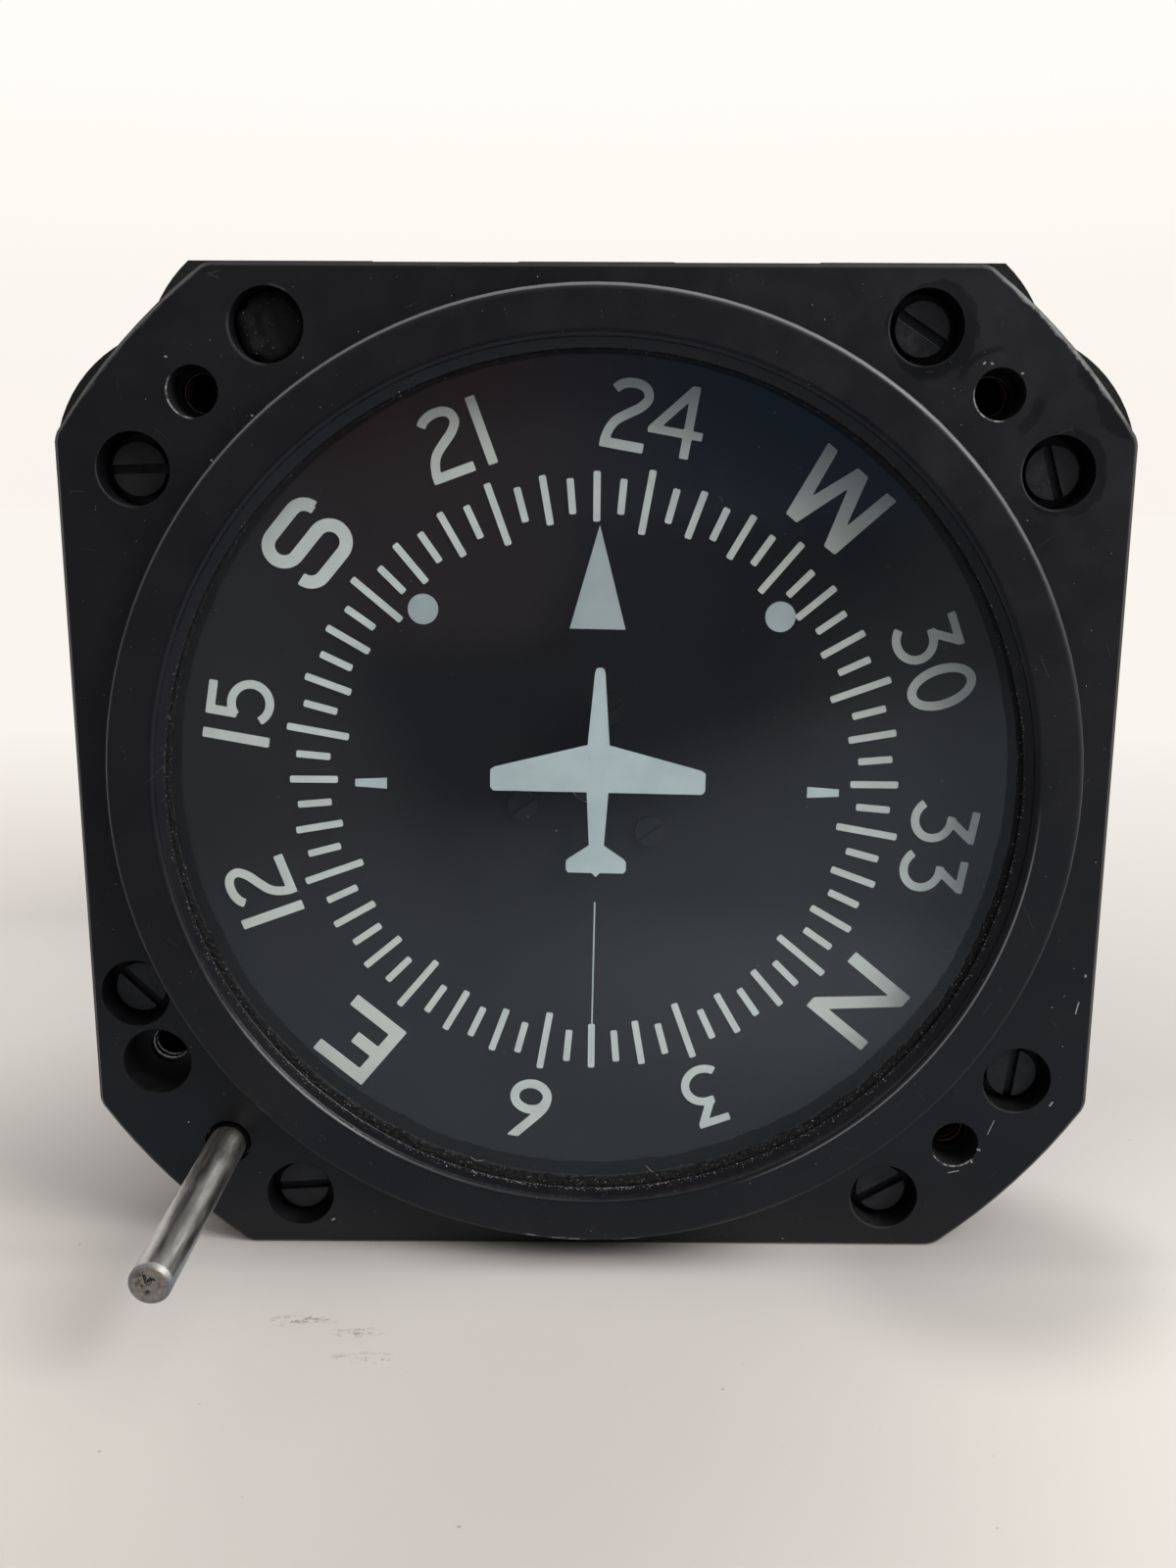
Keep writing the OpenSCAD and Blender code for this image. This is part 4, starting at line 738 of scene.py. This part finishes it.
def mounting_threads(material):
    """The screw threads in the four mounting holes."""
    pitch, root, crest, per_turn = 0.79, 1.63, 1.4, 40
    vertices, faces = [], []
    for clock, mouth in MOUNTING_HOLES:
        cx, cz = clock_point(BOLT_CIRCLE_R, clock)
        turns = (FLANGE_T - mouth - 0.9) / pitch
        steps = int(per_turn * turns)
        first = len(vertices)
        for i in range(steps + 1):
            a = 2 * pi * i / per_turn
            y = mouth + 0.15 + pitch * i / per_turn
            taper = min(1.0, i / 8, (steps - i) / 8)
            top = root - (root - crest) * max(taper, 0.05)
            for r, dy in ((root, 0.02), (top, 0.32), (top, 0.42), (root, 0.72)):
                vertices.append((cx + r * cos(a), y + dy, cz + r * sin(a)))
        faces += tube(first, 4, steps)
    add_mesh("mounting_threads", "housing", material, vertices, faces, smooth=True)


def heaviness(clock):
    """How thickly dirt lies along the glass's edge: most at the bottom, least at the top."""
    return 0.5 - 0.5 * cos(radians(clock))


def edge_dirt(material, draw):
    """The crumbling dark dirt in the corner between the glass and the lip."""
    around, across = 900, 7
    vertices, faces = [], []
    swell = 0.0
    for i in range(around):
        clock = 360 * i / around
        swell = 0.82 * swell + 0.18 * draw.uniform(-1, 1)
        heavy = heaviness(clock) ** 1.6
        width = 0.22 + 0.5 * heavy + 0.22 * swell * (0.4 + heavy)
        height = 0.1 + 0.18 * heavy
        for k in range(across):
            u = pi / 2 * k / (across - 1)
            jitter = 1 + draw.uniform(-0.22, 0.22) * (k > 0)
            x, z = clock_point(WINDOW_R + 0.04 - max(width, 0.12) * cos(u) * jitter, clock)
            vertices.append((x, GLASS_FRONT - 0.004 - height * sin(u) * jitter, z))
        x, z = clock_point(WINDOW_R + 0.06, clock)
        vertices.append((x, GLASS_FRONT - 0.004, z))
        faces += wall(0, across + 1, i, (i + 1) % around)
    add_mesh("edge_dirt", "housing", material, vertices, faces)


GRAIN = [(1, 0, 0), (-1, 0, 0), (0, 1, 0), (0, -1, 0), (0, 0, 1), (0, 0, -1)]
GRAIN_FACES = [(0, 2, 4), (2, 1, 4), (1, 3, 4), (3, 0, 4), (2, 0, 5), (1, 2, 5), (3, 1, 5), (0, 3, 5)]


def add_grain(vertices, faces, draw, radius, clock, depth, size):
    """One irregular grain of dust whose back touches the surface behind it."""
    first = len(vertices)
    centre_x, centre_z = clock_point(radius, clock)
    turn = Matrix.Rotation(draw.uniform(0, 6.3), 3, Vector((draw.uniform(-1, 1), draw.uniform(-1, 1), 1)))
    corners = [turn @ Vector((x * draw.uniform(0.5, 1.3), y * draw.uniform(0.4, 0.9),
                              z * draw.uniform(0.5, 1.3))) for x, y, z in GRAIN]
    back = max(c.y for c in corners)
    for c in corners:
        vertices.append((centre_x + size * c.x, depth + size * (c.y - back), centre_z + size * c.z))
    faces.extend(tuple(first + k for k in f) for f in GRAIN_FACES)


def add_fibre(vertices, faces, draw, start, heading, length, radius):
    """One curled hair lying on a surface that faces the pilot."""
    sides, steps = 5, 14
    first = len(vertices)
    x, y, z = start
    curl = draw.uniform(-9, 9)
    for i in range(steps + 1):
        taper = radius * (0.35 + 0.65 * sin(pi * (0.05 + 0.9 * i / steps)))
        across = Vector((-sin(heading), 0, cos(heading)))
        lift = 0.25 * length * sin(pi * i / steps) * 0.3
        for k in range(sides):
            a = 2 * pi * k / sides
            vertices.append((x + across.x * taper * cos(a), y - radius - lift + taper * sin(a),
                             z + across.z * taper * cos(a)))
        x += length / steps * cos(heading)
        z += length / steps * sin(heading)
        heading += radians(curl + draw.uniform(-14, 14))
    faces += tube(first, sides, steps)


def lip_y(out):
    """y of the sloping lip, that far outside the window's edge."""
    return LIP_BACK - out * (LIP_BACK - LIP_FRONT) / (LIP_R - WINDOW_R)


def dust(material, draw):
    """Loose grains: along the glass's edge, on the glass, and on the ring and flange; a few hairs."""
    vertices, faces = [], []

    def lay(*grain):
        add_grain(vertices, faces, draw, *grain)

    for _ in range(GRAINS["edge"]):
        clock = draw.uniform(0, 360)
        heavy = heaviness(clock) ** 1.5
        if draw.random() > 0.12 + 0.88 * heavy:
            continue
        inset = abs(draw.gauss(0, 0.16 + 0.22 * heavy))
        lift = 0.2 * heavy * max(0.0, 1 - inset / 0.6)
        lay(WINDOW_R - 0.03 - inset, clock, GLASS_FRONT - 0.002 - lift,
            draw.choice((0.014, 0.02, 0.026, 0.034)) * draw.uniform(0.7, 1.3))
    # A pale line of dust on the corner of the lip, thick below
    for _ in range(GRAINS["lip"]):
        clock = draw.uniform(0, 360)
        heavy = heaviness(clock) ** 1.3
        if draw.random() > 0.04 + 0.96 * heavy:
            continue
        out = abs(draw.gauss(0, 0.06 + 0.12 * heavy))
        lay(WINDOW_R + 0.01 + out, clock, lip_y(out),
            draw.choice((0.012, 0.018, 0.026, 0.038)) * draw.uniform(0.7, 1.3))
    for _ in range(GRAINS["glass"]):
        lay(WINDOW_R * sqrt(draw.random()) * 0.985, draw.uniform(0, 360), GLASS_FRONT - 0.001,
            draw.uniform(0.008, 0.034))
    for _ in range(GRAINS["ring"]):
        lay(draw.uniform(*RING_FACE), draw.uniform(0, 360), RING_FRONT - 0.001, draw.uniform(0.012, 0.05))
    for _ in range(GRAINS["flange"]):
        clock = draw.uniform(0, 360)
        radius = draw.uniform(*FLANGE_FACE)
        x, z = clock_point(radius, clock)
        clear = all(dist((x, z), clock_point(r, c)) > gap for r, c, gap in OPENINGS)
        if clear and abs(x) < FLANGE_HALF_X and abs(z) < FLANGE_HALF_Z:
            lay(radius, clock, -0.001, draw.uniform(0.016, 0.06))
    for radius, clock, length in HAIRS:
        x, z = clock_point(radius, clock)
        add_fibre(vertices, faces, draw, (x, GLASS_FRONT - 0.003, z), draw.uniform(0, 6.3), length, 0.014)
    # Coarse grains: a few on the glass, and a crowd on the lip's corner at the bottom
    for _ in range(GRAINS["coarse on glass"]):
        lay(WINDOW_R * sqrt(draw.random()) * 0.97, draw.uniform(0, 360), GLASS_FRONT - 0.001,
            draw.uniform(0.03, 0.06))
    for _ in range(GRAINS["coarse on lip"]):
        out = abs(draw.gauss(0, 0.1))
        lay(WINDOW_R + 0.01 + out, draw.gauss(184, 15), lip_y(out), draw.uniform(0.025, 0.06))
    add_mesh("dust", "housing", material, vertices, faces)


def caked_dirt(material, draw):
    """The lump of dirt that fills the recess over one screw, as an uneven disc."""
    cx, cz = clock_point(*SCREWS[1])
    waves = [(draw.uniform(0.6, 2.6), draw.uniform(0, 6.3), draw.uniform(0, 6.3)) for _ in range(9)]
    vertices, faces = [], []
    around, rings, radius = 60, 14, 2.78

    def height(x, z):
        return sum(sin(f * (x * cos(a) + z * sin(a)) * 2 + p) / f for f, a, p in waves)

    for k in range(rings + 1):
        for i in range(around):
            a = 2 * pi * i / around
            r = radius * k / rings * (1 + 0.03 * sin(7 * a) + 0.02 * sin(11 * a + 2)) / 1.05
            x, z = r * cos(a), r * sin(a)
            y = SCREW_FRONT - 0.10 - 0.05 * height(x, z) + 0.35 * (k / rings) ** 8
            vertices.append((cx + x, y + draw.uniform(-0.012, 0.012), cz + z))
        faces += wall(0, around, k, k + 1)
    vertices += [(x, SCREW_FRONT + 1.0, z) for x, _, z in vertices[-around:]]
    faces.append(tuple(range(len(vertices) - around, len(vertices))))
    add_mesh("caked_dirt", "housing", material, vertices, faces)


# ---- Scene ----


def add_camera():
    data = bpy.data.cameras.new("camera")
    data.sensor_width = SENSOR
    data.lens = FOCAL_PIXELS * SENSOR / IMAGE_LONG_SIDE
    data.clip_start, data.clip_end = 0.005, 20
    camera = add_object("camera", data)
    back = -Vector(CAMERA_LOOK).normalized()
    right = Vector(CAMERA_UP).cross(back).normalized()
    up = back.cross(right)
    turn = Matrix((right, up, back)).transposed().to_4x4()
    camera.matrix_world = Matrix.Translation(Vector(CAMERA_AT) * MM) @ turn
    bpy.context.scene.camera = camera


def front_room(t, across, high):
    """Colour of the dim room in front, which only what gleams sees: lighter at both sides, with something
    reddish at the upper left and something blue at the upper right."""
    shade = t.mix(t.ramp(across, -0.10, 0.12), (0.165, 0.125, 0.14), (0.075, 0.12, 0.18))
    shade = t.mix(high, (0.045, 0.05, 0.065), shade)
    sides = t.ramp(t.math("ABSOLUTE", across), 0.15, 0.30)
    return t.mix(sides, shade, (0.17, 0.18, 0.20))


def table_top(name):
    """The table's pale top, which brightens into the white background, with painted pools of light at the
    right and the back left and painted shadows beside and under the object.
    """
    t, at = new_material(name)
    x, y = t.axis(at, 0), t.axis(at, 1)
    sideways = t.math("ABSOLUTE", x)

    def pool(centre_x, centre_y, inner, outer, strength=1):
        """Mask of a round place on the table that fades between two radii."""
        return t.ramp(t.distance(at, (centre_x, centre_y, FLOOR_Z)), inner, outer, strength, 0)

    tone = t.ramp(t.noise(at, 0.012, 3, 0.55), 0.35, 0.65)
    t.base = t.mix(tone, (0.637, 0.581, 0.548), (0.668, 0.620, 0.583))
    # Painted shadow: a soft dark pool on the table in front of the object, as cast by the photographer
    t.coat(pool(-4, -64, 14, 78, 0.2), (0.2, 0.19, 0.18))
    t.coat(t.times(t.ramp(y, -16, -6, 0, 0.7), t.ramp(x, -45, -25)), (0.600, 0.585, 0.550))
    # Painted shadow by the flange's lower right corner, which also holds back the painted light at the right
    corner = pool(34, -3, 8, 20)
    t.coat(t.times(corner, 0.2), (0.2, 0.19, 0.18))
    # Painted contact shadow in front of and under the ring, darkest in the middle
    painted_contact_shadow = t.times(t.ramp(y, -5.8, -1.2), t.ramp(sideways, 2, 20, 0.66, 0.12))
    t.coat(painted_contact_shadow, (0.04, 0.038, 0.036))
    t.coat(t.specks(at, 0.09, 0.16, 0.010, 0.022, 0.15, 0.7), (0.09, 0.08, 0.07))
    t.coat(t.specks(t.add(at, (5, 2, 0)), 0.55, 0.12, 0.03, 0.10, 0.1, 0.75), (0.20, 0.18, 0.16))
    drawn_out = t.millimetres((0.35, 1, 1))
    broken = t.ramp(t.noise(t.millimetres((0.8, 1.6, 1)), 1.1, 5, 0.75), 0.5, 0.62)
    for rub_x, rub_y, half_length in TABLE_RUBS:
        away = t.distance(drawn_out, (0.35 * rub_x, rub_y, FLOOR_Z))
        here = t.fall(away, 0.1 * half_length, 0.35 * half_length)
        t.coat(t.times(t.times(here, broken), 0.8), (0.12, 0.11, 0.10))
    lit = t.principled(Base_Color=t.base, Roughness=0.65)

    # Seen by the camera, the table runs out into the white background, and painted pools of light brighten it
    # at the right and at the back left
    behind = t.plus(y, t.times(sideways, 0.1))
    beyond = t.minus(t.distance(at, (0, 0, FLOOR_Z)), 170)
    far = t.ramp(t.most(behind, beyond), 8, 280, smooth=False)
    # Painted light: a pool that brightens the table at the right, less in the painted corner shadow, and
    # another at the back left
    right = t.times(pool(95, -45, 15, 105), t.minus(1.0, t.times(corner, 0.9)))
    backdrop_and_painted_light = t.most(far, t.most(pool(-82, 62, 10, 80, 0.5), right))
    path = t.node("LightPath").outputs
    mirrored = t.most(path["Is Glossy Ray"], path["Is Transmission Ray"])
    seen = t.most(path["Is Camera Ray"], mirrored)
    white = t.node("Emission", {"Color": (0.955, 0.915, 0.855, 1)}).outputs[0]
    brightened = t.node("MixShader", {0: t.times(backdrop_and_painted_light, seen), 1: lit, 2: white}).outputs[0]

    # What gleams sees the table in front as it is in the photographer's shadow, and the room beyond
    ahead = t.most(t.times(y, -1.0), 1.0)
    across = t.math("DIVIDE", x, ahead)
    reddish = t.times(t.ramp(ahead, 330, 620, 0, 0.85), t.fall(across, -0.03, 0.05))
    bluish = t.times(t.ramp(ahead, 1100, 3000, 0, 0.6), t.ramp(across, -0.03, 0.05))
    nearness = t.ramp(t.plus(y, t.times(x, 1.3)), -270, -70)
    table = t.mix(nearness, front_room(t, across, t.plus(reddish, bluish)), (0.31, 0.345, 0.39))
    table = t.mix(pool(30, -68, 12, 48), table, (0.47, 0.52, 0.57))
    shadowed = t.node("Emission", {"Color": table}).outputs[0]
    front = t.times(t.fall(y, -10, -0.5), mirrored)
    return t.finish(t.node("MixShader", {0: front, 1: brightened, 2: shadowed}).outputs[0])


def add_floor():
    mesh = bpy.data.meshes.new("floor")
    half, z = 3.0, FLOOR_Z * MM
    corners = [(-half, -half, z), (half, -half, z), (half, half, z), (-half, half, z)]
    mesh.from_pydata(corners, [], [(0, 1, 2, 3)])
    mesh.materials.append(table_top("pale_table"))
    floor = add_object("floor", mesh)


def light_world():
    """A white studio: bright overhead but for a dull patch of ceiling at the front left, pale behind and
    at the right, dim in front, white background."""
    world = bpy.data.worlds.new("studio")
    bpy.context.scene.world = world
    t = Tree(world)
    way = t.node("TexCoord").outputs["Generated"]
    x, y, z = (t.axis(way, k) for k in range(3))
    in_front = t.times(t.ramp(t.dot(way, (-0.5, -0.866, 0)), 0.2, 0.72), t.fall(z, 0.35, 0.65))
    pale = t.mix(t.ramp(z, 0.3, 0.75), (0.86, 0.84, 0.81), (1.17, 1.15, 1.12))
    ceiling = t.dot(way, (-0.32, -0.24, 0.917))
    pale = t.mix(t.ramp(ceiling, 0.76, 0.95), pale, (0.36, 0.355, 0.35))
    ahead = t.most(t.times(y, -1.0), 0.05)
    dim = front_room(t, t.math("DIVIDE", x, ahead), t.ramp(z, -0.05, -0.02))
    path = t.node("LightPath").outputs
    through = t.times(path["Is Transmission Ray"], t.minus(1.0, in_front))
    seen = t.most(path["Is Camera Ray"], through)
    backdrop = t.mix(t.ramp(z, 0.0, 0.3), (0.95, 0.90, 0.845), (1.0, 0.985, 0.93))
    colour = t.mix(seen, t.mix(in_front, pale, dim), backdrop)
    t.node("OutputWorld", {"Surface": t.node("Background", {"Color": colour}).outputs[0]})


def add_key_light():
    """One soft lamp, high at the right and in front."""
    data = bpy.data.lights.new("soft_key", "AREA")
    data.shape = "DISK"
    data.size = 0.8
    data.energy = 15.0
    lamp = add_object("soft_key", data)
    lamp.location = at = Vector((0.95, -0.55, 0.78))
    lamp.rotation_mode = "QUATERNION"
    lamp.rotation_quaternion = (Vector((0, 0.02, 0)) - at).to_track_quat("-Z", "Y")


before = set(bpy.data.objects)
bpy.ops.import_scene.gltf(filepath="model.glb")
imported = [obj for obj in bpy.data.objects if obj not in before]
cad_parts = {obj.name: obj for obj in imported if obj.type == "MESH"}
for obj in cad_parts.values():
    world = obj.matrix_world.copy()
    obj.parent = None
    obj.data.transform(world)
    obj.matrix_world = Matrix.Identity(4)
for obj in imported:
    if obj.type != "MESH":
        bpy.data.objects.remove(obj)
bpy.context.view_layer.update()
add_camera()
add_floor()
light_world()
add_key_light()
bpy.context.scene.view_settings.view_transform = "Standard"

CARD_PRINT = printed_mark("card_print", (0.610, 0.650, 0.625), (0.535, 0.570, 0.555), (0.61, 0.60, 0.555))
FINISHES = (
    (black_paint("black_enamel", used=True), "bezel_flange"),
    (black_paint("case_enamel", (0.008, 0.008, 0.010), (0.014, 0.014, 0.0155), 0.8), "case rear_cover"),
    (screw_black("blacked_screws"), "bezel_screws rear_cover_screws card_shaft"),
    (clear_glass("window_glass"), "glass"),
    (rubber("sealing_rubber"), "glass_seal glass_retainer"),
    (printed_mark("glass_print", (0.455, 0.530, 0.545), (0.405, 0.475, 0.490), painted_shade_top=0.32),
     "aircraft_symbol index_marks"),
    (card_black("card_paint"), "compass_card"),
    (screw_paint("card_screw_paint"), "card_screws"),
    (CARD_PRINT, "card_ticks"),
    (fibre("gasket_paper", (0.0105, 0.0095, 0.0080), (0.0045, 0.0042, 0.0040)), "flange_gasket rear_gasket"),
    (fibre("filter_felt", (0.62, 0.57, 0.45), (0.38, 0.33, 0.24), 2.6, 0.4), "filter_element"),
    (fibre("brake_leather", (0.16, 0.09, 0.05), (0.07, 0.035, 0.02), 1.8, 0.2), "brake_pad"),
    (shaft_steel("shaft_steel"), "setting_shaft"),
    (metal("cast_alloy", (0.62, 0.62, 0.61), (0.44, 0.44, 0.44), (0.30, 0.29, 0.27), (0.34, 0.52),
           (1, 1, 0.3), 2.0, 0.15),
     "filter_cover mechanism_frame air_duct lever_bracket card_hub outer_gimbal inner_gimbal"),
    (metal("bright_steel", (0.60, 0.59, 0.57), (0.42, 0.41, 0.40), (0.2, 0.17, 0.14)),
     "filter_screw frame_screws upper_gimbal_bearing lower_gimbal_bearing idler_stub lever_pin "
     "upper_trunnion lower_trunnion gimbal_pivots spin_bearings rotor_shaft shaft_clips caging_lever"),
    (metal("turned_brass", (0.72, 0.52, 0.25), (0.52, 0.36, 0.16), (0.22, 0.13, 0.06), nicks=0.1),
     "vacuum_fitting card_bearings shaft_bush card_setting_gear card_bevel_gear azimuth_gear air_jets "
     "gimbal_bushes rotor setting_pinion cage_collar idler_gear"),
)
for material, names in FINISHES:
    for name in names.split():
        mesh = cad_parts[name].data
        mesh.materials.clear()
        mesh.materials.append(material)

card_numerals(CARD_PRINT)
mounting_threads(thread_steel("thread_steel"))
edge_dirt(rubber("window_dirt", (0.0035, 0.0035, 0.0035), (0.016, 0.0155, 0.015), 0.5), random.Random(SEED))
dust(loose_dust("loose_dust"), random.Random(SEED + 1))
caked_dirt(rubber("caked_grime", (0.0045, 0.0047, 0.0052), (0.012, 0.012, 0.0125), 0.12),
           random.Random(SEED + 2))
